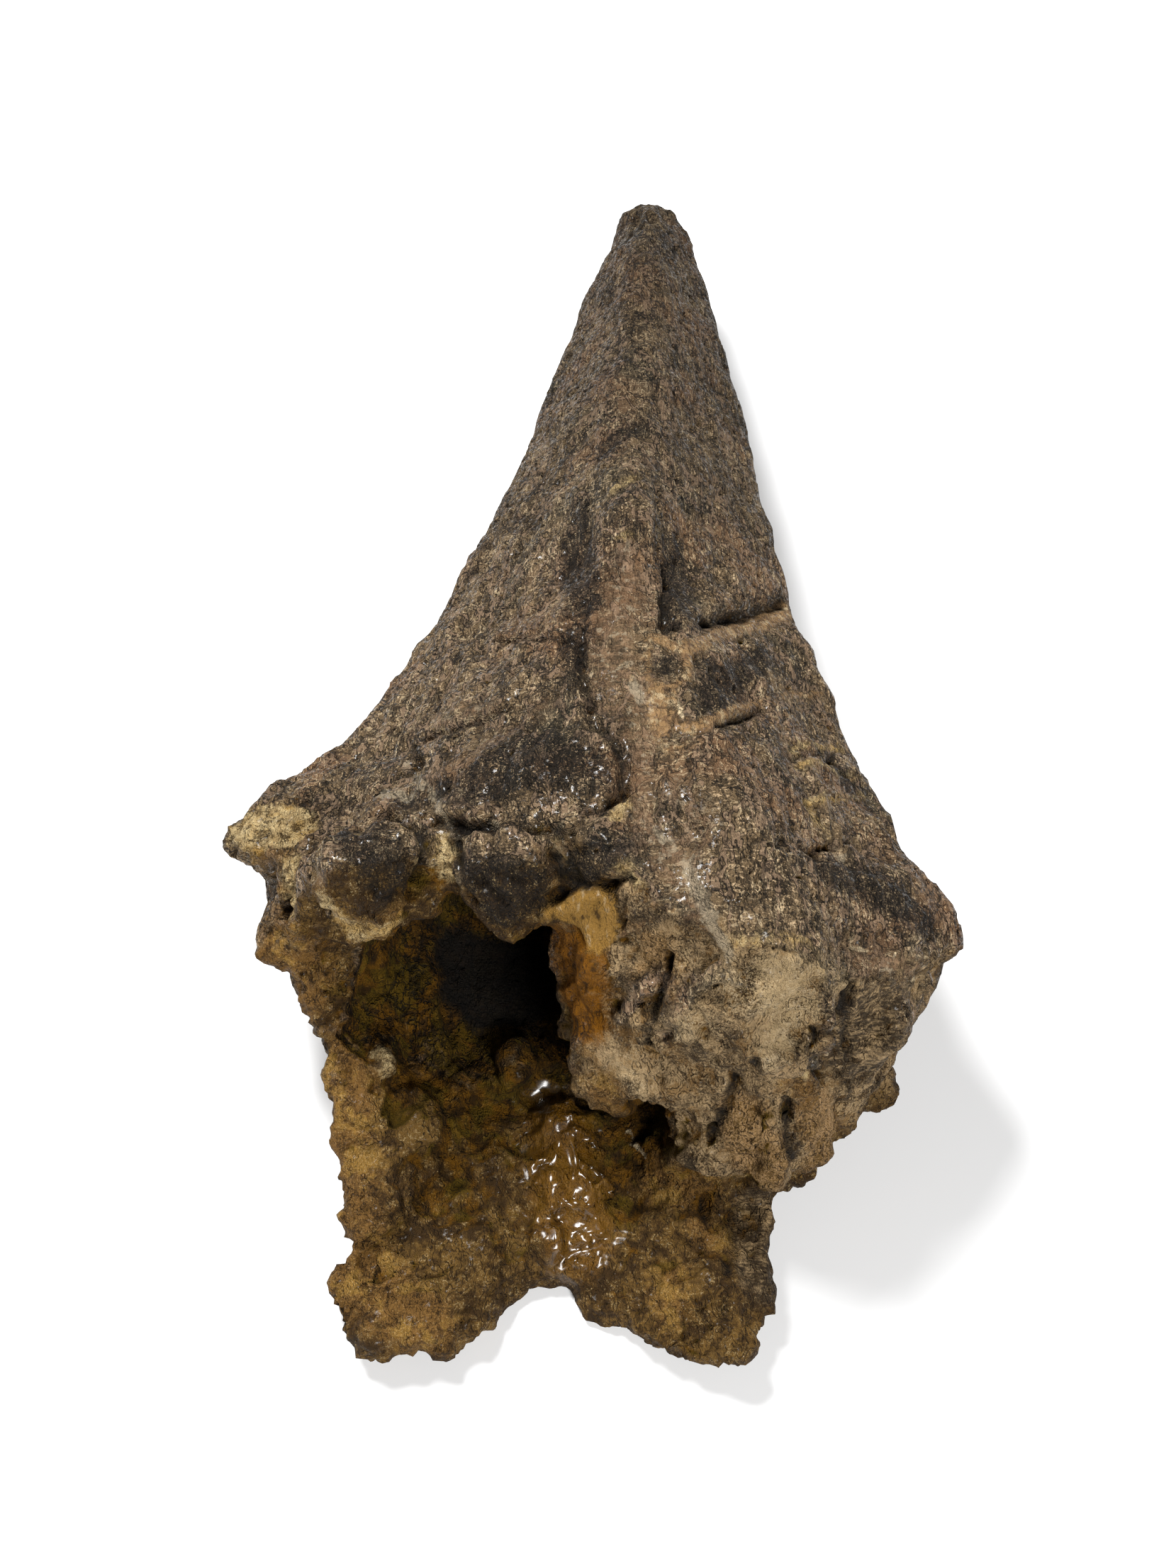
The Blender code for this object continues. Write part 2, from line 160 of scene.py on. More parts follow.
def panel_points(tree, rim_top, rim_bottom, inner_top, inner_bottom, deeper):
    """Points of a panel: two corners lie on the rim, two hang deeper in behind their pixels."""
    rim = [ray_through(*pixel) * depth_at(tree, pixel) for pixel in (rim_top, rim_bottom)]
    inner = [ray_through(*pixel) * (edge.length + deeper)
             for pixel, edge in zip((inner_top, inner_bottom), rim)]
    shares = np.linspace(0, 1, PANEL_STEPS)
    return [CAMERA_PLACE + rim[0].lerp(rim[1], down).lerp(inner[0].lerp(inner[1], down), into)
            for down in shares for into in shares]


def add_balls(places, radius):
    bm = bmesh.new()
    for place in places:
        made = bmesh.ops.create_icosphere(bm, subdivisions=1, radius=radius)
        bmesh.ops.translate(bm, vec=place, verts=made["verts"])
    mesh = bpy.data.meshes.new("panel")
    bm.to_mesh(mesh)
    bm.free()
    piece = bpy.data.objects.new("panel", mesh)
    bpy.context.scene.collection.objects.link(piece)
    return piece


def join_all(target, others):
    """Joins the others' faces to the target's mesh and deletes them."""
    bm = bmesh.new()
    bm.from_mesh(target.data)
    for other in others:
        bm.from_mesh(other.data)
    bm.to_mesh(target.data)
    bm.free()
    for other in others:
        bpy.data.objects.remove(other, do_unlink=True)


rim_tree = tree_of(bone)
join_all(bone, [add_balls(panel_points(rim_tree, *panel), PANEL_BALL) for panel in WALL_PANELS])
add_modifier(bone, "Even skin", "REMESH", mode="VOXEL", voxel_size=BASE_VOXEL)
bake_modifiers(bone)
print("with the wall:", len(bone.data.polygons), "faces")

# %% [markdown]
# Marks such as a filled crack or a crust of ochre are strokes, as with a brush: a few pixels of the
# photograph, each with the brush's half width in millimetres. A ray carries each pixel onto the bone,
# and the stroke then lives in space. The distance from any point of the skin to the edge of a stroke
# is one number, which can cut a groove, raise a ledge or mix a colour. This holds from every side,
# while a flat picture thrown onto the bone would smear down its flanks.

# %% Strokes laid on the bone
STROKE_STEP = 1.0
FAR = 9.0
bone_tree = tree_of(bone)


def on_bone(x, y):
    """Where a pixel of the photograph lies on the bone, in millimetres."""
    place, _, _, _ = bone_tree.ray_cast(CAMERA_PLACE, ray_through(x, y))
    return None if place is None else np.array(place) / MM


def laid(stroke):
    """The stroke as close-set balls: their centres and radii, in millimetres."""
    marks = [(on_bone(x, y), radius) for x, y, radius in stroke]
    marks = [mark for mark in marks if mark[0] is not None]
    centres, radii = [marks[0][0]], [marks[0][1]]
    for (start, first), (end, last) in zip(marks, marks[1:]):
        count = max(2, int(np.linalg.norm(end - start) / STROKE_STEP))
        for share in np.linspace(0, 1, count + 1)[1:]:
            centres.append(start + (end - start) * share)
            radii.append(first + (last - first) * share)
    return np.array(centres), np.array(radii)


def distance_to(strokes, points):
    """How far each point is outside the nearest stroke's edge; inside it is negative."""
    nearest = np.full(len(points), FAR)
    for stroke in strokes:
        centres, radii = laid(stroke)
        reach = radii.max() + FAR
        close = ((points > centres.min(0) - reach) & (points < centres.max(0) + reach)).all(1)
        chosen = points[close]
        for centre, radius in zip(centres, radii):
            gap = np.linalg.norm(chosen - centre, axis=1) - radius
            nearest[close] = np.minimum(nearest[close], gap)
    return nearest


# %% [markdown]
# These are the marks that the photograph shows, read off it. Each list is one kind of mark, and each
# line in it is one stroke: (x, y, half width in millimetres). The preparator's work comes first: the
# smooth band down the crest, the filled cracks, the tan wedge, the grey putty and the cream lines along
# their edges.

# %% Where the fillers are
SMOOTH_BAND = [
    [(884, 770, 1.4), (890, 810, 3.6), (886, 850, 4.4), (868, 905, 4.2), (872, 950, 5),
     (895, 985, 6), (915, 1020, 5)],
    [(905, 1035, 3.4), (906, 1060, 2.2), (909, 1097, 1.8), (908, 1140, 2.4), (930, 1184, 3.2),
     (955, 1215, 4.2), (960, 1250, 3), (985, 1290, 2), (1012, 1330, 1.2)],
    [(850, 935, 1.2), (833, 965, 1.4), (842, 1000, 1)],
    [(950, 1120, 2), (990, 1150, 2.4), (1000, 1190, 1.4)],
    [(603, 1010, 1), (650, 1004, 2), (690, 1006, 1.4), (803, 989, 1)],
    [(664, 1071, 0.6), (703, 1036, 1.2), (746, 1015, 0.8)],
    [(700, 880, 0.8), (733, 876, 1.6), (794, 880, 1.2)],
    [(1098, 1036, 1), (1110, 1075, 1.4)],
    [(1190, 1352, 1.2), (1225, 1356, 2.6), (1262, 1360, 2.8), (1295, 1364, 2.2), (1318, 1366, 1)],
]
FILLED_CRACKS = [
    [(915, 902, 1.0), (935, 900, 1.4), (950, 910, 1.8), (972, 912, 2.2), (1000, 902, 1.5), (1015, 893, 1.9),
     (1059, 880, 2.0), (1112, 862, 2.4)],
    [(915, 950, 0.7), (912, 928, 0.8), (925, 905, 0.8)],
    [(968, 919, 1.8), (974, 940, 1.1), (966, 958, 1.2), (945, 968, 1.0), (958, 1002, 0.9)],
    [(925, 965, 1.6), (930, 1000, 2.4), (935, 1035, 1.8)],
    [(955, 1019, 1.8), (975, 1030, 1.4), (994, 1023, 1.6), (1028, 1006, 1.4), (1063, 993, 1),
     (1115, 980, 0.9), (1158, 976, 0.7)],
    [(937, 1058, 1.2), (972, 1045, 1)],
    [(864, 1326, 0.8), (899, 1305, 1.0), (950, 1284, 0.7)],
    [(794, 1192, 1.8)],
]
TAN_REPAIR = [
    [(772, 1292, 1.2), (800, 1284, 2.6), (832, 1268, 3.2), (852, 1290, 3.2), (850, 1322, 2.4)],
    [(800, 1296, 2.2), (822, 1302, 3.2), (838, 1330, 2.2)],
]
GREY_PUTTY = [
    [(966, 1215, 0.8), (985, 1258, 1.4), (1005, 1300, 1.4), (1027, 1347, 1.2)],
    [(890, 960, 0.8), (905, 985, 1.2)],
    [(925, 1170, 0.8), (950, 1195, 1.0)],
    [(541, 1121, 1.8), (575, 1124, 1.5)],
    [(575, 1080, 0.7), (600, 1110, 0.9), (628, 1150, 0.9), (640, 1185, 0.7)],
    [(1187, 1208, 1.2)],
    [(697, 1164, 1)],
]
PALE_LINES = [
    [(981, 1184, 0.3), (1020, 1171, 0.35), (1080, 1162, 0.25)],
    [(703, 1175, 0.3), (760, 1170, 0.3), (807, 1158, 0.35)],
    [(958, 985, 0.4), (962, 1012, 0.5)],
    [(885, 1594, 0.6), (892, 1612, 0.6), (916, 1632, 0.6)],
    [(1205, 1338, 0.4), (1260, 1344, 0.3), (1310, 1350, 0.3)],
    [(1215, 1386, 0.4), (1312, 1383, 0.4)],
    [(1192, 1230, 0.3), (1199, 1290, 0.4), (1203, 1335, 0.4)],
    [(1000, 1246, 0.2), (1100, 1272, 0.25), (1190, 1306, 0.2)],
    [(1012, 1222, 0.2), (1090, 1232, 0.25), (1160, 1228, 0.2)],
    [(1040, 1284, 0.2), (1120, 1318, 0.2)],
    [(660, 1060, 0.25), (700, 1040, 0.3), (742, 1012, 0.2)],
    [(715, 1060, 0.2), (760, 1042, 0.25)],
    [(560, 1010, 0.3), (640, 985, 0.25), (700, 985, 0.2)],
    [(985, 700, 0.2), (1010, 760, 0.25), (1040, 800, 0.2)],
    [(1050, 866, 0.3), (1111, 858, 0.4)],
]
print(len(SMOOTH_BAND) + len(FILLED_CRACKS), "strokes of filler")

# %% [markdown]
# The minerals and stains are next: dark bone, ochre crusts on the rim, the pale translucent patch on
# the base, the golden lobes of the floor, the amber wall of the hollow, and the brown lumps and smooth
# slabs of the broken base. The black deep of the hollow is no stain but painted shade, where the real
# hole runs on deeper than the solid.

# %% Where the minerals and stains are
DARK_BONE = [
    [(818, 715, 3), (816, 760, 4.4), (816, 802, 5), (825, 850, 4)],
    [(807, 890, 2.2), (807, 954, 2)],
    [(950, 770, 3.6), (955, 820, 4.4), (955, 868, 3.6), (948, 884, 1.6)],
    [(850, 640, 2), (900, 600, 2)],
    [(972, 882, 1), (1059, 862, 1), (1106, 843, 0.8)],
    [(937, 934, 3.4)],
    [(1000, 935, 3), (1005, 985, 3.4), (1040, 950, 3.6), (1080, 925, 3)],
    [(660, 1110, 5), (720, 1080, 7), (780, 1070, 7), (830, 1095, 5)],
    [(573, 1129, 3.2), (620, 1113, 3.2)],
    [(648, 1169, 1.6), (690, 1165, 1.4)],
    [(480, 1180, 3), (520, 1200, 5), (550, 1240, 4)],
    [(680, 1235, 4), (735, 1255, 6), (715, 1285, 5)],
    [(830, 1220, 4), (875, 1200, 3)],
    [(371, 1180, 1.3)],
    [(310, 1188, 1.3)],
    [(438, 1129, 1.6)],
    [(1180, 1075, 3), (1200, 1110, 3)],
    [(1170, 1230, 5), (1250, 1260, 6), (1310, 1300, 4)],
]
OCHRE_CRUST = [
    [(320, 1175, 2.2), (360, 1165, 5), (410, 1165, 5.4)],
    [(410, 1224, 3), (410, 1280, 3)],
    [(454, 1204, 0.8), (533, 1173, 0.8)],
    [(573, 1169, 0.8), (588, 1216, 0.8)],
    [(622, 1180, 1.4), (628, 1205, 1.8), (625, 1236, 1.6)],
    [(452, 1270, 1.6), (480, 1298, 2.2), (520, 1316, 2.2), (556, 1302, 1.4)],
    [(880, 1130, 1.6), (868, 1148, 1.4)],
    [(790, 1185, 1.2), (797, 1205, 0.8)],
    [(880, 1225, 1.2), (895, 1245, 1)],
    [(863, 694, 0.8), (896, 674, 1)],
    [(881, 754, 1)],
    [(930, 741, 1)],
    [(1119, 1056, 0.9), (1150, 1050, 0.5), (1185, 1058, 0.8)],
    [(1125, 1082, 0.9), (1155, 1078, 0.7), (1205, 1092, 0.5)],
    [(1142, 1132, 0.8), (1180, 1124, 0.5), (1219, 1119, 0.6)],
    [(1141, 1136, 0.8), (1152, 1158, 0.6), (1167, 1176, 0.7)],
    [(1030, 1330, 0.9), (1080, 1322, 0.6), (1140, 1328, 0.7)],
    [(1136, 1519, 1.4)],
    [(537, 1485, 1.6), (541, 1505, 1.6)],
]
PALE_PATCH = [
    [(1015, 1378, 2), (1060, 1400, 4), (1100, 1388, 6), (1135, 1420, 4), (1105, 1475, 4), (1080, 1500, 2)],
    [(954, 1457, 2.4), (985, 1438, 2)],
    [(1150, 1366, 2.4), (1190, 1385, 1.6)],
    [(870, 1500, 1.4), (905, 1530, 1)],
]
GOLDEN_ZONE = [
    [(320, 1175, 3), (400, 1165, 7), (405, 1300, 9), (425, 1385, 7)],
    [(500, 1455, 5), (478, 1600, 7), (490, 1700, 7), (500, 1800, 8), (600, 1870, 6)],
    [(440, 1250, 2.4), (480, 1300, 2.6), (530, 1318, 2), (560, 1290, 1.6)],
    [(624, 1180, 2), (624, 1236, 2)],
    [(855, 1540, 4), (880, 1610, 5), (930, 1665, 5), (1000, 1675, 3)],
    [(990, 1725, 3), (1015, 1760, 2.4)],
    [(1130, 1520, 3), (1140, 1550, 2)],
    [(945, 1810, 4), (950, 1850, 3)],
    [(1150, 1385, 3)],
]
# The black deep of the hollow: painted shade, where the real hole runs on deeper than the solid.
HOLE_PAINTED_SHADE = [
    [(645, 1345, 6), (695, 1375, 9), (742, 1360, 7), (745, 1408, 7), (690, 1415, 7), (650, 1395, 5)],
]
# The amber of this wall is real; it is painted brighter, as painted light, and takes no painted shade.
AMBER_WALL = [
    [(797, 1338, 5.0), (820, 1345, 5.0)],
    [(800, 1370, 5.0), (824, 1378, 5.0)],
    [(806, 1405, 5.0), (826, 1410, 5.0)],
    [(812, 1438, 4.4), (828, 1440, 4.4)],
]
BROWN_LUMPS = [
    [(1040, 1570, 4), (1062, 1600, 6), (1072, 1640, 5)],
    [(1150, 1560, 4), (1152, 1600, 5), (1150, 1640, 4)],
    [(990, 1725, 3), (1005, 1760, 2.6)],
    [(930, 1330, 3), (905, 1390, 3.4)],
]
SLABS = [
    [(1240, 1405, 9), (1240, 1480, 10), (1235, 1580, 10)],
    [(1066, 1700, 4.5), (1070, 1800, 5), (1062, 1900, 5)],
    [(1240, 1350, 4), (1320, 1350, 3)],
]
print(len(DARK_BONE) + len(OCHRE_CRUST), "strokes of dark bone and ochre")

# %% [markdown]
# The last strokes are shapes. Three round nodules hang over the hollow, with deep grooves between
# them. Flaps of bone lie on their neighbours like scales, and here and there the skin swells or sinks.

# %% Where the skin rises and sinks
NODULES = [
    [(495, 1200, 6.5), (545, 1212, 7), (525, 1262, 6)],
    [(695, 1215, 6.5), (738, 1225, 6), (715, 1268, 5)],
    [(842, 1195, 4.5), (862, 1205, 4)],
]
GROOVES = [
    [(541, 1150, 0.8), (575, 1160, 1.0), (590, 1172, 1.2), (596, 1205, 1.4), (590, 1240, 1.0)],
    [(612, 1158, 0.8), (640, 1165, 1.3), (680, 1167, 1.1), (708, 1177, 0.9), (760, 1172, 0.8),
     (785, 1166, 0.9), (795, 1195, 0.8)],
    [(640, 1186, 1.2), (650, 1225, 1.2), (664, 1275, 0.8)],
    [(784, 1205, 0.9), (796, 1235, 1.3), (805, 1252, 0.9), (780, 1266, 0.8)],
    [(806, 1178, 0.7), (803, 1215, 1.0), (812, 1245, 1.0), (850, 1252, 0.9), (884, 1236, 0.7)],
    [(832, 1012, 0.7), (870, 1048, 1.0), (881, 1085, 1.1), (876, 1120, 0.9), (851, 1138, 0.7),
     (826, 1142, 0.5)],
    [(560, 1095, 0.5), (592, 1078, 0.8), (585, 1052, 0.5)],
    [(826, 868, 0.6), (818, 905, 0.8), (822, 960, 0.7), (834, 1000, 0.7)],
    [(938, 800, 0.5), (940, 850, 0.8), (934, 884, 0.6)],
    [(700, 905, 0.4), (760, 898, 0.5), (812, 905, 0.5)],
    [(600, 1040, 0.5), (660, 1022, 0.6), (720, 1000, 0.4)],
    [(1120, 1068, 0.5), (1180, 1072, 0.6)],
    [(1060, 1190, 0.5), (1140, 1200, 0.6), (1200, 1190, 0.5)],
    [(1198, 1398, 1.3), (1181, 1429, 1.6), (1164, 1463, 1.4), (1150, 1491, 1.1), (1157, 1519, 0.6)],
    [(1064, 1498, 0.9), (1037, 1540, 1.2), (999, 1605, 0.9)],
    [(906, 1550, 1.2), (907, 1598, 1.4)],
    [(950, 882, 0.7), (1037, 872, 0.9), (1106, 852, 0.7)],
    [(962, 1045, 0.5), (1020, 1022, 0.6), (1080, 1000, 0.5)],
    [(1130, 1520, 0.8), (1110, 1560, 1.0), (1114, 1640, 0.8)],
    [(1190, 1400, 0.8), (1196, 1480, 0.9), (1188, 1560, 0.9), (1192, 1640, 0.7)],
    [(940, 1350, 0.7), (925, 1420, 0.9), (905, 1480, 0.8)],
    [(1000, 1700, 0.8), (1025, 1780, 0.9), (1022, 1860, 0.7)],
]
FLAPS = [
    [(650, 1125, 4), (700, 1090, 7), (760, 1065, 8), (800, 1055, 6), (838, 1085, 6), (832, 1115, 4)],
    [(1000, 1120, 6), (1060, 1150, 6), (1020, 1230, 6)],
    [(1120, 1250, 7), (1200, 1260, 7), (1280, 1290, 5)],
    [(1000, 1400, 5), (1060, 1430, 6), (1120, 1420, 6)],
    [(1010, 1630, 5), (1075, 1600, 6), (1075, 1650, 5)],
    [(1150, 1590, 5), (1152, 1640, 5)],
]
SWELLINGS = [
    [(593, 1550, 3.5), (593, 1585, 4)],
    [(537, 1482, 1.6), (543, 1505, 1.8)],
    [(730, 1498, 4.5)],
    [(600, 1270, 3), (596, 1330, 3), (602, 1442, 3), (642, 1540, 2.6), (663, 1645, 2.4)],
    [(455, 1450, 2), (470, 1520, 2.4), (480, 1600, 2)],
    [(1060, 1580, 5), (1085, 1640, 5)],
    [(1150, 1590, 4), (1150, 1640, 4)],
    [(980, 1735, 3), (1015, 1735, 2)],
    [(886, 300, 0.8)], [(952, 302, 1.0)],
]
HOLLOWS = [
    [(505, 1462, 3), (520, 1478, 3)],
    [(526, 1540, 0.8)],
    [(870, 1640, 3), (880, 1700, 3)],
    [(640, 1660, 3), (600, 1700, 2)],
    [(729, 780, 0.8)],
    [(766, 787, 0.8)],
    [(891, 302, 1.2), (896, 312, 0.8)],
    [(919, 298, 1.2), (921, 310, 0.8)],
    [(946, 306, 1.2)],
    [(980, 1429, 1)], [(990, 1467, 0.9)], [(928, 1531, 1)],
    [(928, 1250, 2), (905, 1255, 2)],
    [(1130, 1420, 3), (1120, 1470, 3)],
]
MARKS = (SMOOTH_BAND, FILLED_CRACKS, TAN_REPAIR, GREY_PUTTY, DARK_BONE, OCHRE_CRUST, PALE_PATCH,
         GOLDEN_ZONE, HOLE_PAINTED_SHADE, PALE_LINES, NODULES, GROOVES, FLAPS, AMBER_WALL, BROWN_LUMPS,
         SLABS, SWELLINGS, HOLLOWS)
print(sum(map(len, MARKS)), "strokes")

# %% [markdown]
# The hollow is lined with a mineral crust that grew as bubbles, and the broken wall is granular. Both
# are many small balls of different sizes, half sunk in the bone. Placing them by hand would take days
# and shading alone would leave the outline smooth. Geometry Nodes scatters them: it picks points on
# the skin with a fixed seed, sets a small ball on each, and makes the copies real. A voxel remesh then
# fuses bone and grains into one skin.

# %% The grains' node tree


def socket_id(tree, name):
    return next(item.identifier for item in tree.interface.items_tree if item.name == name)


def scatter_tree(finish):
    """A Geometry Nodes tree: balls of mixed sizes on the faces where a weight is high."""
    tree = bpy.data.node_groups.new("scatter grains", "GeometryNodeTree")
    sockets = (("Skin", "NodeSocketGeometry", "INPUT"), ("Per square metre", "NodeSocketFloat", "INPUT"),
               ("Smallest", "NodeSocketFloat", "INPUT"), ("Largest", "NodeSocketFloat", "INPUT"),
               ("Weight", "NodeSocketFloat", "INPUT"), ("Seed", "NodeSocketInt", "INPUT"),
               ("Grains", "NodeSocketGeometry", "OUTPUT"))
    for name, kind, way in sockets:
        tree.interface.new_socket(name, in_out=way, socket_type=kind)
    given = tree.nodes.new("NodeGroupInput").outputs
    result = tree.nodes.new("NodeGroupOutput").inputs

    def step(kind, *links, **values):
        node = tree.nodes.new(kind)
        for source, target in links:
            tree.links.new(source, node.inputs[target])
        for target, value in values.items():
            node.inputs[target].default_value = value
        return node

    density = step("ShaderNodeMath", (given["Per square metre"], 0), (given["Weight"], 1))
    density.operation = "MULTIPLY"
    spots = step("GeometryNodeDistributePointsOnFaces", (given["Skin"], "Mesh"),
                 (density.outputs[0], "Density"), (given["Seed"], "Seed"))
    ball = step("GeometryNodeMeshIcoSphere", Radius=1.0, Subdivisions=2)
    size = step("FunctionNodeRandomValue", (given["Smallest"], 2), (given["Largest"], 3),
                (given["Seed"], "Seed"))
    copies = step("GeometryNodeInstanceOnPoints", (spots.outputs["Points"], "Points"),
                  (ball.outputs["Mesh"], "Instance"), (size.outputs[1], "Scale"))
    real = step("GeometryNodeRealizeInstances", (copies.outputs["Instances"], "Geometry"))
    painted = step("GeometryNodeSetMaterial", (real.outputs["Geometry"], "Geometry"))
    painted.inputs["Material"].default_value = finish
    tree.links.new(painted.outputs["Geometry"], result["Grains"])
    return tree


bone_finish = bpy.data.materials.new("fossil bone")
scatter = scatter_tree(bone_finish)
print("scatter tree:", len(scatter.nodes), "nodes")

# %% [markdown]
# The tree is used twice: for the round glassy bubbles on the floor of the hollow, and for smaller
# grains on the ochre rim and the lobes. A stroke's distance becomes the weight that says where grains
# may grow. One remesh then fuses bubbles, grains and bone, and a light smoothing rounds their feet.

# %% Bubbles and grains
BUBBLES_ON = [[(770, 1545, 4), (790, 1600, 8), (805, 1660, 9), (815, 1725, 8), (812, 1770, 5)]]
GRAINS_ON = [
    [(320, 1175, 2.2), (360, 1165, 5), (410, 1165, 5.4), (410, 1300, 6), (430, 1380, 5)],
    [(440, 1270, 3), (500, 1310, 3.4), (560, 1300, 3)],
    [(470, 1450, 4), (480, 1600, 5), (490, 1750, 9), (560, 1850, 10), (640, 1860, 7)],
    [(960, 1560, 8), (1060, 1600, 9), (1110, 1600, 6)],
    [(940, 1850, 8), (1040, 1880, 8)],
]
FINE_VOXEL = 0.78 * MM


def points_of(piece):
    flat = np.empty(len(piece.data.vertices) * 3)
    piece.data.vertices.foreach_get("co", flat)
    return flat.reshape(-1, 3) / MM


def set_weight(piece, name, values):
    layer = piece.data.attributes.get(name) or piece.data.attributes.new(name, "FLOAT", "POINT")
    layer.data.foreach_set("value", np.asarray(values, np.float32))


def scattered(skin, tree, strokes, per_square_mm, smallest, largest, seed):
    """A mesh of grains on the strokes' part of the skin."""
    set_weight(skin, "grain weight", np.clip(-distance_to(strokes, points_of(skin)), 0, 1))
    grains = skin.copy()
    grains.data = skin.data.copy()
    bpy.context.scene.collection.objects.link(grains)
    modifier = add_modifier(grains, "Scatter", "NODES", node_group=tree)
    values = {"Per square metre": per_square_mm / MM ** 2, "Smallest": smallest * MM,
              "Largest": largest * MM, "Seed": seed}
    for name, value in values.items():
        modifier[socket_id(tree, name)] = value
    weight = socket_id(tree, "Weight")
    modifier[weight + "_use_attribute"] = True
    modifier[weight + "_attribute_name"] = "grain weight"
    bake_modifiers(grains)
    return grains


bubbles = scattered(bone, scatter, BUBBLES_ON, 0.13, 1.1, 2.3, 4)
grains = scattered(bone, scatter, GRAINS_ON, 0.16, 0.5, 1.3, 9)
print("bubbles:", len(bubbles.data.vertices), "points, grains:", len(grains.data.vertices), "points")
join_all(bone, [bubbles, grains])
add_modifier(bone, "Even skin", "REMESH", mode="VOXEL", voxel_size=FINE_VOXEL)
add_modifier(bone, "Soften", "SMOOTH", factor=0.5, iterations=2)
bake_modifiers(bone)
print("fine skin:", len(bone.data.polygons), "faces")

# %% [markdown]
# The relief and the finish both read the strokes. So each kind of mark is saved on the skin as one
# number per point, the distance to its edge, while the skin still lies where the strokes do. Inside
# the material a distance can be broken up by noise and cut sharply, finer than the mesh itself.

# %% Distances on the skin
FIELDS = {"band": SMOOTH_BAND, "filler": FILLED_CRACKS, "repair": TAN_REPAIR, "putty": GREY_PUTTY,
          "dark": DARK_BONE, "ochre": OCHRE_CRUST, "pale": PALE_PATCH, "lines": PALE_LINES,
          "bubbles": BUBBLES_ON, "golden": GOLDEN_ZONE, "black": HOLE_PAINTED_SHADE, "slab": SLABS,
          "groove": GROOVES, "amber": AMBER_WALL, "brown": BROWN_LUMPS}
skin_points = points_of(bone)
for field, strokes in FIELDS.items():
    set_weight(bone, field, distance_to(strokes, skin_points))
print("fields:", ", ".join(FIELDS))

# %% [markdown]
# Relief is noise of several kinds. Smooth noise makes lumps and, drawn out along the horn, fibres.
# Cells make crumbs. Terraces turn hills into thin steps with steep edges, as flaking bone has. These
# four helpers work on all points of the skin at once and are mixed in the next cells.

# %% Kinds of roughness
FINE_SEED = (31.0, 7.0, 19.0)


def rough(points, size, stretch=(1, 1, 1), offset=0.0):
    """Smooth noise between about -1 and 1. stretch above 1 draws it out along an axis."""
    scaled = points / (np.array(stretch) * size) + np.array(FINE_SEED) + offset
    return np.array([noise.noise(place) for place in scaled.tolist()])


def crumbs(points, size, offset=0.0):
    """Rounded crumbs: high in the middle of each, low where they meet."""
    scaled = points / size + np.array(FINE_SEED) + offset
    return np.array([1 - 1.6 * noise.voronoi(place)[0][0] for place in scaled.tolist()])


def terraces(height, step):
    """Turns smooth hills into thin steps with steep edges."""
    level = height / step
    floor = np.floor(level)
    return (floor + np.clip((level - floor - 0.35) / 0.3, 0, 1)) * step


def inside(distance, softness=1.0):
    """1 inside a stroke and 0 outside it, with a soft edge."""
    return np.clip(0.5 - distance / softness, 0, 1)


print("crumbs are up to", round(float(crumbs(skin_points[:50], 4.2).max()), 2), "high")

# %% [markdown]
# Whether a place is whole bone or crumbs is read from the shape itself. Bone is snapped where the
# skin faces the open base or lies on the torn floor of the hollow, and the ochre crusts are crumbs
# too. The border is frayed by noise. The number is kept on the skin, since the finish needs it again.

# %% Where the bone is snapped
def normals_of(piece):
    flat = np.empty(len(piece.data.vertices) * 3)
    piece.data.vertices.foreach_get("normal", flat)
    return flat.reshape(-1, 3)


def broken_share(points, normals):
    """1 where the bone is snapped: the skin faces the open base, or is the torn floor."""
    wobble = 7 * rough(points, 6, offset=83) + 3 * rough(points, 2, offset=87)
    facing = np.clip((-normals[:, 1] - 0.34 + wobble * 0.02) / 0.16, 0, 1)
    near = np.clip((-62 - points[:, 1] + wobble) / 8, 0, 1)
    floor = np.clip((-88 - points[:, 1] + wobble) / 6, 0, 1) * np.clip((44 - points[:, 2]) / 8, 0, 1)
    ochre = inside(distance_to(OCHRE_CRUST, points), 1.5)
    return np.maximum(np.maximum(facing * near, floor), ochre)


skin_normals = normals_of(bone)
skin_broken = broken_share(skin_points, skin_normals)
set_weight(bone, "broken", skin_broken)
print("snapped:", round(float(skin_broken.mean()) * 100), "% of the skin's points")

# %% [markdown]
# Now the skin moves along its normals. Whole bone has fibres, lumps, thin flakes and pores. Snapped
# bone has crumbs, except on its slabs. Filler is smooth, so every kind of roughness fades out there.
# Then each stroke of the shape tables lifts or cuts its place by its own height. A Decimate modifier
# thins the skin to what the library allows, and nothing may reach below the surface it rests on.

# %% Relief
HEIGHTS = ((NODULES, 3.0, 5.0), (FLAPS, 1.0, 0.9), (GROOVES, -2.3, 1.6), (SWELLINGS, 1.6, 2.5),
           (HOLLOWS, -1.8, 1.8))
TIP_STARTS, TIP_BLENDS, TIP_SLIMMER = 112, 24, 0.9
SKIN_TRIANGLES = 192000


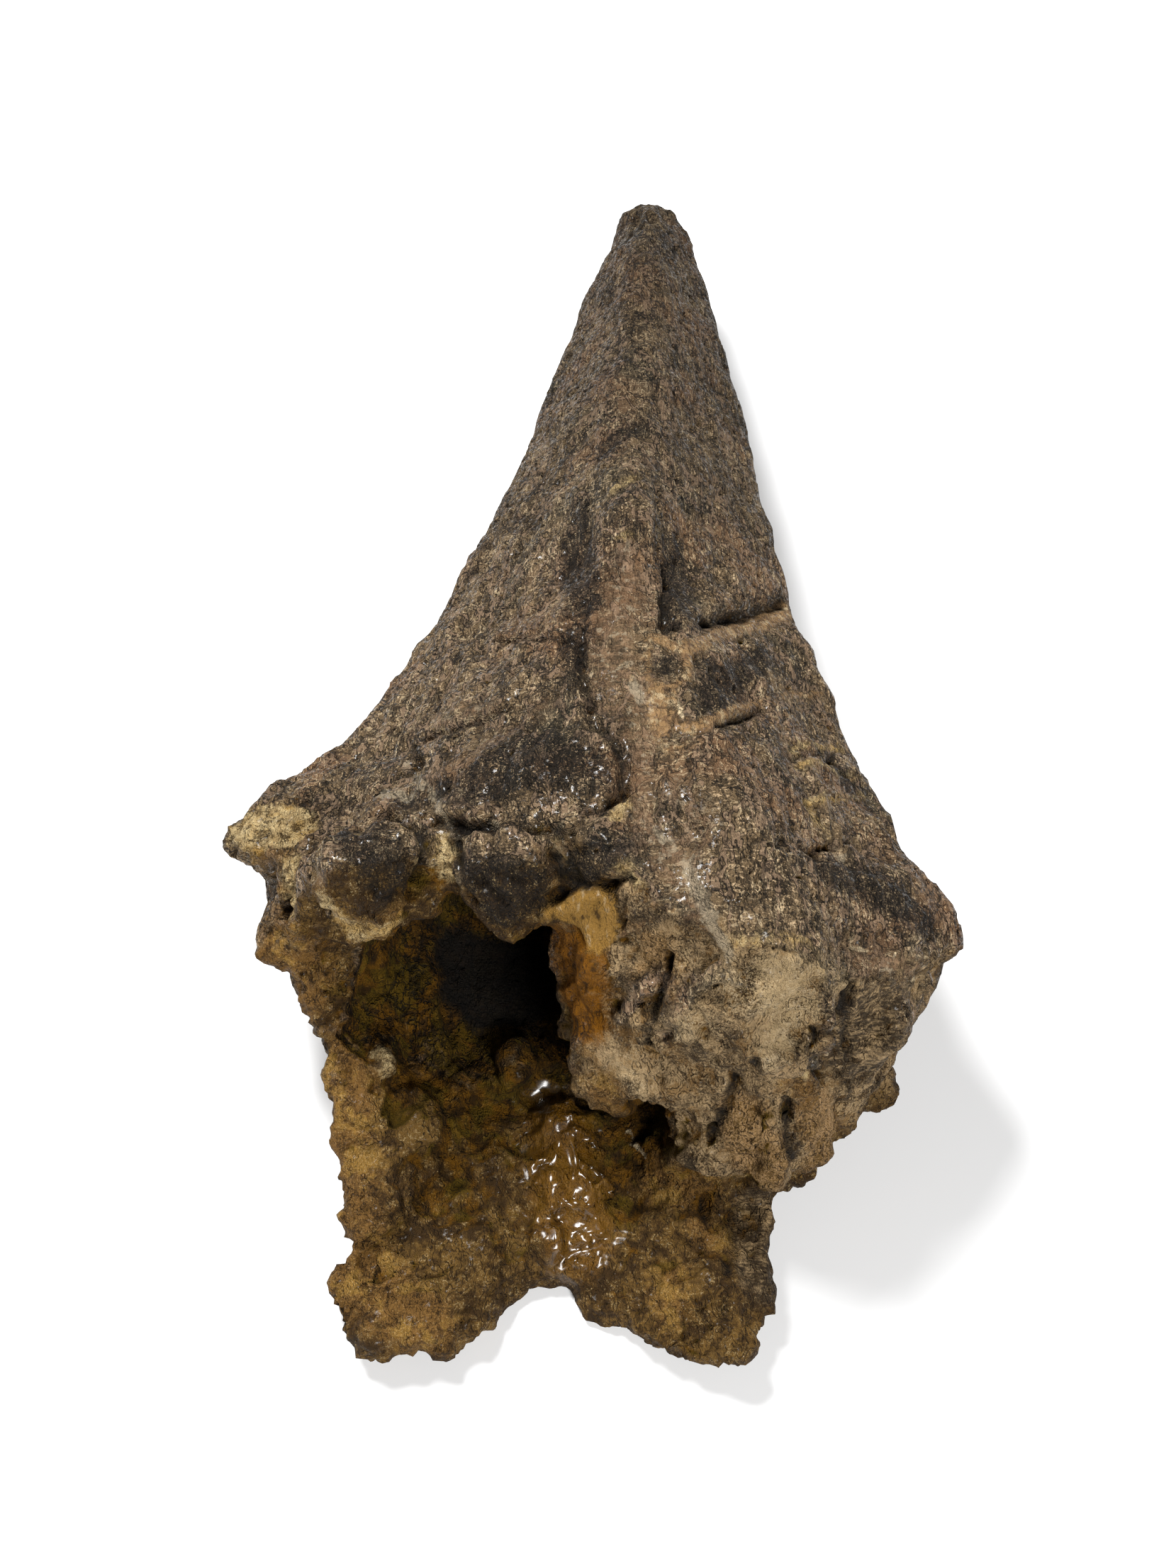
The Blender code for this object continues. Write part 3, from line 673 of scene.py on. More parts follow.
def relief_of(points, broken):
    """How far each point of the skin moves along its normal, in millimetres."""
    cracks = np.minimum(distance_to(FILLED_CRACKS, points), distance_to(TAN_REPAIR, points))
    filler = np.minimum(distance_to(SMOOTH_BAND, points), cracks)
    dark = distance_to(DARK_BONE, points)
    fibres = 0.34 * rough(points, 1.5, (1, 6, 1)) + 0.22 * rough(points, 0.9, (1, 7, 1), 40)
    calm = 1 - 0.55 * np.clip((points[:, 1] + 20) / 60, 0, 1)
    lumps = 0.5 * calm * rough(points, 8, (1, 1.8, 1), 11)
    flakes = calm * terraces(1.3 * rough(points, 4.4, (1, 2.6, 1), 23), 0.45)
    pores = -1.5 * np.clip(rough(points, 1.7, offset=57) - 0.40, 0, 1) * 3
    chunks = terraces(3.2 * rough(points, 9, offset=29), 1.3)
    grain = chunks + 0.9 * crumbs(points, 4.2) + 0.6 * crumbs(points, 2.2, 9)
    grain = grain + 0.4 * crumbs(points, 1.3, 19)
    bare = fibres + lumps + flakes + pores
    crumbled = broken * (1 - 0.7 * inside(distance_to(SLABS, points), 4))
    relief = bare * (1 - crumbled) + (grain + lumps * 1.5 - 0.9) * crumbled
    relief = relief * (1 - 0.45 * inside(filler, 1.5))
    relief = relief * (1 - 0.7 * inside(cracks, 1.2))
    edge = np.exp(-((cracks - 0.5) / 0.8) ** 2) * np.clip(rough(points, 6, offset=77) + 0.4, 0, 1)
    relief = relief - 0.7 * edge - 0.4 * inside(dark, 2)
    craggy = terraces(2.4 * rough(points, 3.8, offset=41), 0.7) + 0.5 * crumbs(points, 1.9, 5)
    relief = relief + craggy * inside(distance_to(NODULES, points), 4)
    relief = relief - TIP_SLIMMER * np.clip((points[:, 1] - TIP_STARTS) / TIP_BLENDS, 0, 1)
    wobble = 1.1 * rough(points, 3.4, offset=103)
    for strokes, height, softness in HEIGHTS:
        relief = relief + height * inside(distance_to(strokes, points) + wobble, softness)
    return relief


def move_points(piece, points):
    piece.data.vertices.foreach_set("co", (points * MM).ravel())
    piece.data.update()


def rest_on_floor(piece):
    """Nothing reaches below the surface that the bone lies on."""
    points = points_of(piece)
    points[:, 2] = np.maximum(points[:, 2], 0)
    move_points(piece, points)


move_points(bone, skin_points + skin_normals * relief_of(skin_points, skin_broken)[:, None])
triangles = sum(len(face.vertices) - 2 for face in bone.data.polygons)
add_modifier(bone, "Thin out", "DECIMATE", ratio=min(1.0, SKIN_TRIANGLES / triangles),
             use_collapse_triangulate=True)
bake_modifiers(bone)
rest_on_floor(bone)
bone.data.shade_smooth()
print("finished skin:", len(bone.data.polygons), "triangles from", triangles)

# %% [markdown]
# Inside the hollow the bone is stained amber and olive, and it is painted darker as shade where it is
# sheltered. So one more number says how sheltered a point is: rays leave it in a few dozen fixed
# directions, and the share that meets bone nearby is its shelter. It places the stain, and it paints
# shade into cracks and the hollow alike, wherever the camera stands.

# %% Shelter
SHELTER_RAYS = 40
SHELTER_REACH = 90 * MM
GOLDEN_ANGLE = math.pi * (3 - math.sqrt(5))


def even_directions(count):
    """Directions spread evenly over a sphere, on a spiral."""
    made = []
    for k in range(count):
        height = 1 - 2 * (k + 0.5) / count
        ring = math.sqrt(1 - height * height)
        made.append(Vector((math.cos(k * GOLDEN_ANGLE) * ring, math.sin(k * GOLDEN_ANGLE) * ring, height)))
    return made


def shelter_of(piece):
    tree = tree_of(piece)
    rays = even_directions(SHELTER_RAYS)
    shelter = []
    for vert in piece.data.vertices:
        start = vert.co + vert.normal * (0.6 * MM)
        open_rays = [ray for ray in rays if ray.dot(vert.normal) > 0.15]
        blocked = sum(tree.ray_cast(start, ray, SHELTER_REACH)[0] is not None for ray in open_rays)
        shelter.append(blocked / len(open_rays))
    return shelter


set_weight(bone, "shelter", shelter_of(bone))
print("shelter from", SHELTER_RAYS, "rays a point")

# %% [markdown]
# A material is sums: noise times a colour, one mask less another. Written as nodes by hand, a sum of
# three numbers takes a dozen lines. So a small class wraps a socket, and Python's own signs add the
# Math nodes. One more method adds any other node from its type, its settings and its sockets' values.

# %% Sums for materials


class Wire:
    """One output in a material. Sums on it add Math nodes."""

    def __init__(self, paint, socket):
        self.paint, self.socket = paint, socket

    def sum(self, operation, first, second):
        return self.paint.node("ShaderNodeMath", {"operation": operation}, {0: first, 1: second})

    def __add__(self, other):
        return self.sum("ADD", self, other)

    def __sub__(self, other):
        return self.sum("SUBTRACT", self, other)

    def __rsub__(self, other):
        return self.sum("SUBTRACT", other, self)

    def __mul__(self, other):
        return self.sum("MULTIPLY", self, other)

    __radd__, __rmul__ = __add__, __mul__

    def __abs__(self):
        return self.sum("ABSOLUTE", self, 0.0)

    def most(self, other):
        return self.sum("MAXIMUM", self, other)


class Paint:
    """The node tree of one material."""

    def __init__(self, material):
        material.use_nodes = True
        self.tree = material.node_tree
        self.shader = self.tree.nodes["Principled BSDF"]
        self.place = self.node("ShaderNodeVectorMath", {"operation": "SCALE"},
                               {0: self.node("ShaderNodeTexCoord", pick="Object"), 3: 1 / MM})

    def node(self, kind, settings=(), sockets=(), pick=0):
        """Adds a node and returns the output that pick names."""
        made = self.tree.nodes.new(kind)
        for name, value in dict(settings).items():
            setattr(made, name, value)
        for name, value in dict(sockets).items():
            self.feed(made.inputs[name], value)
        return Wire(self, made.outputs[pick])

    def feed(self, socket, value):
        if isinstance(value, Wire):
            self.tree.links.new(value.socket, socket)
        else:
            socket.default_value = value

    def stretched(self, size, stretch, offset):
        """The place on the bone in units of size, drawn out along the axes by stretch."""
        scale = tuple(1 / (size * part) for part in stretch)
        return self.node("ShaderNodeVectorMath", {"operation": "MULTIPLY_ADD"},
                         {0: self.place, 1: scale, 2: (offset, offset * 0.7, -offset)})

    def noise(self, size, stretch=(1, 1, 1), offset=0.0, detail=3.0, roughness=0.55):
        where = self.stretched(size, stretch, offset)
        return self.node("ShaderNodeTexNoise", {}, {"Vector": where, "Scale": 1.0, "Detail": detail,
                                                    "Roughness": roughness})

    def cells(self, size, offset, bend):
        """The distance from the middle of the nearest cell, in cells with ragged sides."""
        where = self.bent(self.stretched(size, (1, 1, 1), offset), bend)
        return self.node("ShaderNodeTexVoronoi", {"feature": "F1"}, {"Vector": where, "Scale": 1.0})

    def bent(self, where, amount):
        """The place, pushed about by noise, so that straight cells come out ragged."""
        push = self.node("ShaderNodeTexNoise", {}, {"Vector": where, "Scale": 1.3, "Detail": 1.0},
                         pick="Color")
        centred = self.node("ShaderNodeVectorMath", {"operation": "SUBTRACT"},
                            {0: push, 1: (0.5, 0.5, 0.5)})
        scaled = self.node("ShaderNodeVectorMath", {"operation": "SCALE"}, {0: centred, 3: amount})
        return self.node("ShaderNodeVectorMath", {"operation": "ADD"}, {0: where, 1: scaled})

    def vein(self, size, stretch, offset, width, detail=5.0, roughness=0.6):
        """1 on thin winding lines, where a noise crosses its middle, and 0 elsewhere."""
        level = abs(self.noise(size, stretch, offset, detail, roughness) - 0.5)
        return 1 - self.rise(level, width * 0.4, width)

    def field(self, name):
        return self.node("ShaderNodeAttribute", {"attribute_name": name}, pick="Fac")

    def rise(self, value, low, high):
        """0 below low and 1 above high, with a smooth climb between."""
        return self.node("ShaderNodeMapRange", {"interpolation_type": "SMOOTHSTEP"},
                         {0: value, 1: low, 2: high})

    def mark(self, name, wobble, softness, breakup):
        """1 inside a kind of stroke. Its edge is pushed about by the breakup noise."""
        edge = self.field(name) + (breakup - 0.5) * wobble
        return 1 - self.rise(edge, -softness, softness)

    def mix(self, below, above, share):
        return self.node("ShaderNodeMix", {"data_type": "RGBA"}, {0: share, 6: below, 7: above}, pick=2)

    def over(self, below, above, value, low, high, most=1.0):
        """The colour above laid over the one below where value rises from low to high."""
        share = self.rise(value, low, high)
        return self.mix(below, above, share if most == 1.0 else share * most)

    def tint(self, colour, share):
        """The colour made darker where share is low."""
        return self.node("ShaderNodeMix", {"data_type": "RGBA", "blend_type": "MULTIPLY"},
                         {0: 1.0, 6: colour, 7: self.grey(share)}, pick=2)

    def grey(self, value):
        return self.node("ShaderNodeCombineColor", {}, {0: value, 1: value, 2: value})


print("paint box ready")

# %% [markdown]
# The finish is built layer by layer from a few named colours. First comes the bone in grey-browns, then
# the ochre and amber minerals of the hollow and the broken faces. The smooth red-brown band, the tan
# fillings, the pale patch and the pale lines go over them. A colour here is what the surface itself
# reflects, so it is linear and darker than the same colour looks under the lamps.

# %% Colours
# The black of dark bone, also used as painted shade in pores, grooves, ledge feet and the deep hollow.
BONE_BLACK_AND_SHADE = (0.008, 0.006, 0.004, 1)
BONE_DARK = (0.034, 0.023, 0.012, 1)
BONE_MID = (0.140, 0.093, 0.048, 1)
BONE_LIGHT = (0.47, 0.335, 0.195, 1)
BONE_RED = (0.180, 0.096, 0.048, 1)
FLAKE_PINK = (0.235, 0.155, 0.098, 1)
BONE_GREEN = (0.044, 0.038, 0.023, 1)
HAIR_PALE = (0.56, 0.43, 0.26, 1)
OCHRE_DEEP = (0.30, 0.205, 0.090, 1)
OCHRE_LIGHT = (0.48, 0.36, 0.18, 1)
OCHRE_PALE = (0.62, 0.51, 0.30, 1)
GOLD = (0.34, 0.19, 0.035, 1)
CRUMB_BROWN = (0.122, 0.066, 0.015, 1)
RUST = (0.165, 0.083, 0.020, 1)
CRUMB_GREY = (0.33, 0.225, 0.115, 1)
UMBER = (0.034, 0.017, 0.004, 1)
AMBER = (0.145, 0.062, 0.0015, 1)
AMBER_DARK = (0.034, 0.015, 0.0004, 1)
OLIVE = (0.100, 0.062, 0.002, 1)
AMBER_PAINTED_LIT = (0.155, 0.058, 0.0012, 1)
LUMP_BROWN = (0.34, 0.205, 0.090, 1)
WEDGE_TAN = (0.215, 0.115, 0.022, 1)
BAND_BROWN = (0.100, 0.055, 0.027, 1)
BAND_PALE = (0.18, 0.110, 0.060, 1)
FILLER_TAN = (0.24, 0.143, 0.062, 1)
FILLER_PALE = (0.40, 0.30, 0.17, 1)
PUTTY_GREY = (0.30, 0.245, 0.165, 1)
PATCH_PALE = (0.38, 0.275, 0.145, 1)
PATCH_WHITE = (0.41, 0.31, 0.185, 1)
LINE_CREAM = (0.56, 0.44, 0.27, 1)
print("the darkest bone reflects", BONE_BLACK_AND_SHADE[0], "and the palest crust", OCHRE_PALE[0])

# %% [markdown]
# A finish is many layers, and the layers share a few kinds of noise: fibres, streaks, speckles, and a
# breakup that frays the edge of every mark. On the spike the fibres run along the horn, and on the
# snapped base they run across it. So the noises are made once and each layer mixes them its own way,
# which keeps the material fast and makes its colours and its bumps fall in the same places.

# %% Noise that the layers share
paint = Paint(bone_finish)
where = paint.node("ShaderNodeSeparateXYZ", {}, {0: paint.place})
across, along, height = (Wire(paint, where.socket.node.outputs[axis]) for axis in "XYZ")
breakup = paint.noise(1.6, detail=3.0, offset=3.1, roughness=0.7)
ragged = (paint.noise(9, offset=61.0, detail=3.0, roughness=0.65) - 0.5) * 14
clouds = paint.noise(14, (1, 1.7, 1), 5.0, detail=4.0, roughness=0.7)
on_spike = paint.rise(along + ragged, -70.0, -40.0)
long_fibres = paint.noise(0.42, (1, 9, 1), 1.7, detail=2.5, roughness=0.75)
cross_fibres = paint.noise(0.42, (8, 2, 2), 8.3, detail=2.5, roughness=0.75)
fibres = long_fibres * on_spike + cross_fibres * (1 - on_spike)
streaks = paint.noise(1.8, (1, 4, 1), 27.0, detail=4.0, roughness=0.75)
speckle = paint.noise(0.40, offset=12.0, detail=2.5, roughness=0.75)
patches = paint.noise(8, offset=23.0, detail=3.0, roughness=0.65)
ochre_noise = paint.noise(2.6, offset=21.0, detail=4.0, roughness=0.75)
shelter = paint.field("shelter")
broken = paint.field("broken")
print("shared noises:", len(paint.tree.nodes), "nodes so far")

# %% [markdown]
# Bare bone is dark grey-brown with greenish and reddish clouds. Its surface flakes in thin plates, so
# each plate has a ledge, with painted shade in a dark line at its foot, cut from one noise at three
# levels. Pale hairs of glue and fibre lie over it. A hair is drawn where a noise crosses its middle,
# which gives long winding lines, and it shows only in some places, as on the real bone.

# %% Bare bone
LEDGE_LEVELS = (0.43, 0.49, 0.55)
bone_tone = paint.over(BONE_DARK, BONE_MID, clouds * 0.4 + streaks * 0.3 + speckle * 0.5, 0.50, 0.64)
bone_tone = paint.over(bone_tone, BONE_GREEN, paint.noise(17, offset=66.0, detail=2.0), 0.54, 0.66, 0.6)
bone_tone = paint.over(bone_tone, BONE_RED, paint.noise(20, offset=31.0, detail=2.0), 0.50, 0.66, 0.6)
light = fibres * 0.6 + speckle * 0.45 + streaks * 0.15
bone_tone = paint.over(bone_tone, BONE_LIGHT, light, 0.63, 0.72, 0.85)
blots = paint.noise(2.2, (1, 2.4, 1), 71.0, 4.0, 0.78)
bone_tone = paint.over(bone_tone, BONE_BLACK_AND_SHADE, blots, 0.56, 0.66, 0.6)
plates = paint.noise(8, (1, 1.8, 1), 120.0, 4.0, 0.6)
ledges = sum(paint.rise(plates, level, level + 0.012) for level in LEDGE_LEVELS)
# Painted shade: a dark line at the foot of each ledge.
ledge_feet_shade = sum(paint.rise(plates, level - 0.012, level) * (1 - paint.rise(plates, level, level + 0.010))
           for level in LEDGE_LEVELS)
flake_mask = paint.rise(plates, 0.49, 0.50) * (1 - paint.rise(plates, 0.55, 0.56))
bone_tone = paint.mix(bone_tone, FLAKE_PINK, flake_mask * 0.55)
bone_tone = paint.mix(bone_tone, BONE_BLACK_AND_SHADE, ledge_feet_shade * 0.85)
hair_zone = paint.rise(paint.noise(10, offset=17.0, detail=4.0), 0.46, 0.58)
hair = paint.vein(2.6, (1, 2.6, 1), 2.0, 0.020, 3.0) * paint.rise(streaks, 0.44, 0.56)
slanting = paint.vein(3.4, (3.2, 1, 1.4), 37.0, 0.014, 3.0) * paint.rise(clouds, 0.47, 0.58)
hair_mask = (hair * hair_zone).most(slanting * 0.8)
bone_tone = paint.mix(bone_tone, HAIR_PALE, hair_mask * 0.7)
print("bare bone:", len(paint.tree.nodes), "nodes so far")

# %% [markdown]
# Where the bone is snapped it is crumbs. On the right, at the broken base, they are grey with rust and
# dark gaps, and a few smooth slabs and brown lumps lie among them. In the hollow and on the lobes of
# the floor they are brown, rusty or gold from iron in the ground. The "broken" number from the relief
# says where crumbs begin, so the colour changes exactly where the surface does.

# %% Crumbs of the broken faces
CRUMB_DETAIL = 4.0
shards = paint.noise(3.4, (1, 2.2, 2.2), 83.0, 4.0, 0.72)
rust_spots = paint.noise(6.0, offset=109.0, detail=CRUMB_DETAIL, roughness=0.7)
dark_gaps = paint.noise(2.6, offset=85.0, detail=CRUMB_DETAIL, roughness=0.75)
gold_gaps = paint.noise(1.6, offset=44.0, detail=4.0, roughness=0.8)
slab_mask = paint.mark("slab", 5.0, 2.0, breakup)

brown_crumb = paint.over(UMBER, CRUMB_BROWN, patches * 0.5 + ochre_noise * 0.5, 0.42, 0.58)
brown_crumb = paint.over(brown_crumb, OCHRE_LIGHT, ochre_noise * 0.5 + speckle * 0.5, 0.54, 0.68, 0.7)
grey_crumb = paint.over(BONE_DARK, CRUMB_GREY, patches * 0.4 + shards * 0.3 + speckle * 0.3, 0.42, 0.56)
grey_crumb = paint.over(grey_crumb, RUST, rust_spots, 0.50, 0.60, 0.6)
grey_crumb = paint.over(grey_crumb, PATCH_PALE, shards * 0.6 + speckle * 0.4, 0.53, 0.62, 0.7)
grey_crumb = paint.over(grey_crumb, UMBER, dark_gaps, 0.55, 0.66, 0.7)
slab_grain = cross_fibres * 0.5 + streaks * 0.3 + patches * 0.3
slab_tone = paint.over(BONE_DARK, CRUMB_GREY, slab_grain, 0.48, 0.68)
grey_crumb = paint.mix(grey_crumb, slab_tone, slab_mask * 0.85)
lump_tone = paint.over(CRUMB_BROWN, LUMP_BROWN, speckle * 0.6 + shards * 0.4, 0.42, 0.56)
grey_crumb = paint.mix(grey_crumb, lump_tone, paint.mark("brown", 5.0, 1.6, breakup) * 0.85)
gold_crumb = paint.over(OCHRE_DEEP, OCHRE_LIGHT, ochre_noise * 0.6 + speckle * 0.4, 0.42, 0.58)
gold_crumb = paint.over(gold_crumb, GOLD, patches, 0.50, 0.64, 0.5)
gold_crumb = paint.over(gold_crumb, OCHRE_PALE, speckle * 0.6 + ochre_noise * 0.4, 0.56, 0.66, 0.8)
gold_crumb = paint.over(gold_crumb, UMBER, gold_gaps, 0.52, 0.60, 0.8)
rust_crumb = paint.over(UMBER, RUST, ochre_noise * 0.6 + speckle * 0.4, 0.40, 0.54)
rust_crumb = paint.over(rust_crumb, OCHRE_LIGHT, speckle * 0.6 + patches * 0.4, 0.54, 0.64, 0.55)
rust_crumb = paint.over(rust_crumb, GOLD, patches, 0.50, 0.60, 0.5)

on_base = paint.rise(across + ragged, -8.0, 6.0) * paint.rise(height + ragged * 0.4, 14.0, 24.0)
golden_mask = paint.mark("golden", 9.0, 2.4, breakup)
crust_tone = paint.mix(brown_crumb, grey_crumb, on_base * 0.85)
crust_tone = paint.mix(crust_tone, slab_tone, slab_mask * 0.8)
# The ledge feet get painted shade on the crumbs too.
crust_tone = paint.mix(crust_tone, UMBER, ledge_feet_shade * 0.8)
crust_tone = paint.mix(crust_tone, rust_crumb, golden_mask * 0.85)
tone = paint.mix(bone_tone, crust_tone, broken.most(golden_mask * 0.6))
print("crumbs:", len(paint.tree.nodes), "nodes so far")

# %% [markdown]
# Under the roof the bone is stained amber and olive. Further in it is painted darker as shade, in the
# last colour cell. The stain follows the shelter number, with a frayed edge, and stops where the horn
# closes. The wall on the right has painted light: its amber is brighter, and it takes no painted shade.

# %% The stained hollow
in_hollow = 1 - paint.rise(along + ragged * 0.3, 30.0, 50.0)
roofed = paint.rise(shelter + (breakup - 0.5) * 0.3, 0.36, 0.60) * in_hollow
stain_noise = paint.noise(4.0, (1, 1, 2.5), 54.0, CRUMB_DETAIL, 0.7)
stain = paint.over(AMBER_DARK, AMBER, stain_noise, 0.42, 0.60)
stain = paint.over(stain, OLIVE, patches, 0.48, 0.58, 0.7)
stain = paint.over(stain, GOLD, ochre_noise * 0.5 + speckle * 0.5, 0.54, 0.66, 0.5)
tone = paint.mix(tone, stain, roofed)
amber_mask = paint.mark("amber", 6.0, 2.0, breakup)
# Painted light: the wall on the right gets a brighter amber than the stain of the hollow.
amber_tone = paint.over(AMBER_DARK, AMBER_PAINTED_LIT, patches * 0.5 + ochre_noise * 0.5, 0.34, 0.50)
tone = paint.mix(tone, amber_tone, amber_mask)
print("hollow:", len(paint.tree.nodes), "nodes so far")

# %% [markdown]
# Next come the mineral marks on the bone: ochre crusts, the pale translucent patch on the base, and
# the bone's dark spots. Each has a field of distances. The mark method turns that into a mask whose
# edge the breakup noise frays, since a clean edge would look like a sticker.

# %% Crusts, the pale patch and dark bone
tone = paint.mix(tone, gold_crumb, paint.mark("ochre", 6.5, 1.0, breakup))
pale_edge = paint.mark("pale", 9.0, 2.6, breakup)
pale_body = paint.rise(speckle * 0.5 + patches * 0.5, 0.38, 0.52)
pale_milk = paint.rise(ochre_noise * 0.6 + speckle * 0.4, 0.50, 0.60)
tone = paint.mix(tone, PATCH_PALE, pale_edge * pale_body * 0.8)
tone = paint.mix(tone, PATCH_WHITE, pale_edge * pale_milk * 0.8)
dark_mask = paint.mark("dark", 6.0, 1.6, breakup)
tone = paint.mix(tone, BONE_BLACK_AND_SHADE, dark_mask * paint.rise(speckle + streaks * 0.5, 1.04, 0.70) * 0.9)
print("mineral marks:", len(paint.tree.nodes), "nodes so far")

# %% [markdown]
# The preparator's work is the other kind of mark. A smooth red-brown band of filler runs down the
# crest, tan filler closes the cracks, a tan wedge with folds spans the corner of the hollow, and a
# streak of grey putty ends on the base. All are smoother than bone, so their masks are added up here
# and calm the bumps later.

# %% Fillers and putty
mottle = paint.noise(3.6, offset=91.0, detail=4.0, roughness=0.75)
wrinkles = paint.noise(1.1, (5, 1, 1), 97.0, detail=4.0, roughness=0.7)
band_gaps = paint.noise(2.4, (2, 1, 1), 99.0, CRUMB_DETAIL, 0.75)
band_tone = paint.over(BAND_BROWN, BAND_PALE, mottle * 0.5 + wrinkles * 0.3 + speckle * 0.2, 0.47, 0.58)
band_tone = paint.over(band_tone, BONE_DARK, band_gaps, 0.50, 0.60, 0.85)
band_mask = paint.mark("band", 7.0, 2.2, ragged * 0.10 + breakup)
tone = paint.mix(tone, band_tone, band_mask * paint.rise(mottle + speckle * 0.5, 0.60, 0.84) * 0.8)
grey_spots = paint.rise(paint.noise(2.6, offset=105.0, detail=3.0, roughness=0.7), 0.58, 0.64)
tone = paint.mix(tone, PUTTY_GREY, band_mask * grey_spots * 0.5)

filler_mask = paint.mark("filler", 4.2, 0.5, breakup)
filler_dirt = paint.noise(2.0, offset=15.0, detail=CRUMB_DETAIL, roughness=0.7)
filler_cream = paint.noise(2.4, offset=19.0, detail=CRUMB_DETAIL, roughness=0.7)
filler_tone = paint.over(FILLER_TAN, BAND_BROWN, filler_dirt, 0.46, 0.60, 0.8)
filler_tone = paint.over(filler_tone, FILLER_PALE, filler_cream, 0.52, 0.62, 0.8)
tone = paint.mix(tone, filler_tone, filler_mask * paint.rise(speckle + breakup, 0.72, 0.90) * 0.92)

repair_mask = paint.mark("repair", 3.6, 0.6, breakup)
folds = paint.noise(1.8, (1, 2.5, 2.5), 107.0, 3.0, 0.6)
wedge_tone = paint.over(AMBER_DARK, WEDGE_TAN, folds, 0.34, 0.48)
wedge_tone = paint.over(wedge_tone, FILLER_PALE, folds, 0.58, 0.68, 0.5)
tone = paint.mix(tone, wedge_tone, repair_mask * 0.92)
tone = paint.mix(tone, PUTTY_GREY, paint.mark("putty", 3.6, 0.5, breakup) * 0.65)
smooth_mask = band_mask.most(filler_mask).most(repair_mask)
print("fillers:", len(paint.tree.nodes), "nodes so far")

# %% [markdown]
# The last colours are thin lines and darkness. Wet-looking amber goes on the bubbles, and cream lines
# run where filler meets bone. Pores, creases and grooves are painted black, as painted shade in their
# depths. The deep of the hollow is painted black as shade, sheltered places get painted shade, and the
# spike is a little darker towards its tip.

# %% Lines and painted shade
bubble_mask = paint.mark("bubbles", 7.0, 2.5, breakup)
tone = paint.mix(tone, AMBER, bubble_mask * 0.7)
tone = paint.mix(tone, LINE_CREAM, paint.mark("lines", 1.4, 0.22, breakup) * 0.9)
pores = paint.cells(1.6, offset=4.0, bend=1.2)
creases = paint.vein(4.4, (1, 2.4, 1), 14.0, 0.028, 3.0)
cracks = paint.vein(10.0, (1.6, 1, 1), 47.0, 0.010, 4.0)
pits = (1 - paint.rise(pores, 0.06, 0.22)) * (1 - smooth_mask * 0.6) * (1 - broken * 0.5)
lines_cut = (creases * 0.7).most(cracks) * (1 - smooth_mask * 0.6) * (1 - broken * 0.85)
groove_mask = paint.mark("groove", 2.4, 0.9, breakup)
# Pores, creases and grooves are painted black here: painted shade in their depths.
tone = paint.mix(tone, BONE_BLACK_AND_SHADE, pits.most(lines_cut).most(groove_mask * 1.15) * 0.82)
# The deep of the hollow is painted black as shade; the amber wall is left out of it.
tone = paint.mix(tone, BONE_BLACK_AND_SHADE, paint.mark("black", 4.0, 1.8, breakup) * (1 - amber_mask) * 0.95)
# Sheltered places are painted darker here: painted shade, which the amber wall doesn't take.
painted_shade = 1 - paint.rise(shelter, 0.25, 1.0) * (1 - amber_mask) * 0.6
tip_shade = 1 - paint.rise(along, -5.0, 45.0) * 0.32 - paint.rise(along, 60.0, 150.0) * 0.28
tone = paint.tint(tone, painted_shade * tip_shade)
print("colours done:", len(paint.tree.nodes), "nodes so far")

# %% [markdown]
# A thin consolidant gives the bone a broken sheen. It is a clear coat that shows only in small
# patches, and it is strongest on the bubbles, which glint as if wet. The fine relief reuses the
# noises of the colours, so a pale fibre is also a raised one. It only bends the light, since the mesh
# already has every shape that an outline would show.

# %% Sheen and fine relief
COAT_ROUGHNESS = 0.20
BASE_SPECULAR = 0.14
sheen_spots = paint.rise(paint.noise(1.0, offset=51.0, detail=3.0, roughness=0.8), 0.54, 0.62)
sheen = sheen_spots * (1 - roofed) * (1 - broken * 0.75)
relief = (fibres * 0.5 + speckle * 0.5 + streaks * 1.4 + blots * -0.8) * (1 - smooth_mask * 0.4)
relief = relief + ledges * (0.8 + broken * 0.3) * (1 - smooth_mask * 0.7)
relief = relief + folds * repair_mask * 2.0 - lines_cut * 0.6 - groove_mask * 1.2
crumb_relief = ochre_noise + shards * 1.6 + patches * 0.8
relief = relief + broken * (1 - slab_mask * 0.7) * crumb_relief
bumps = paint.node("ShaderNodeBump", {}, {"Strength": 1.0, "Distance": MM, "Height": relief})

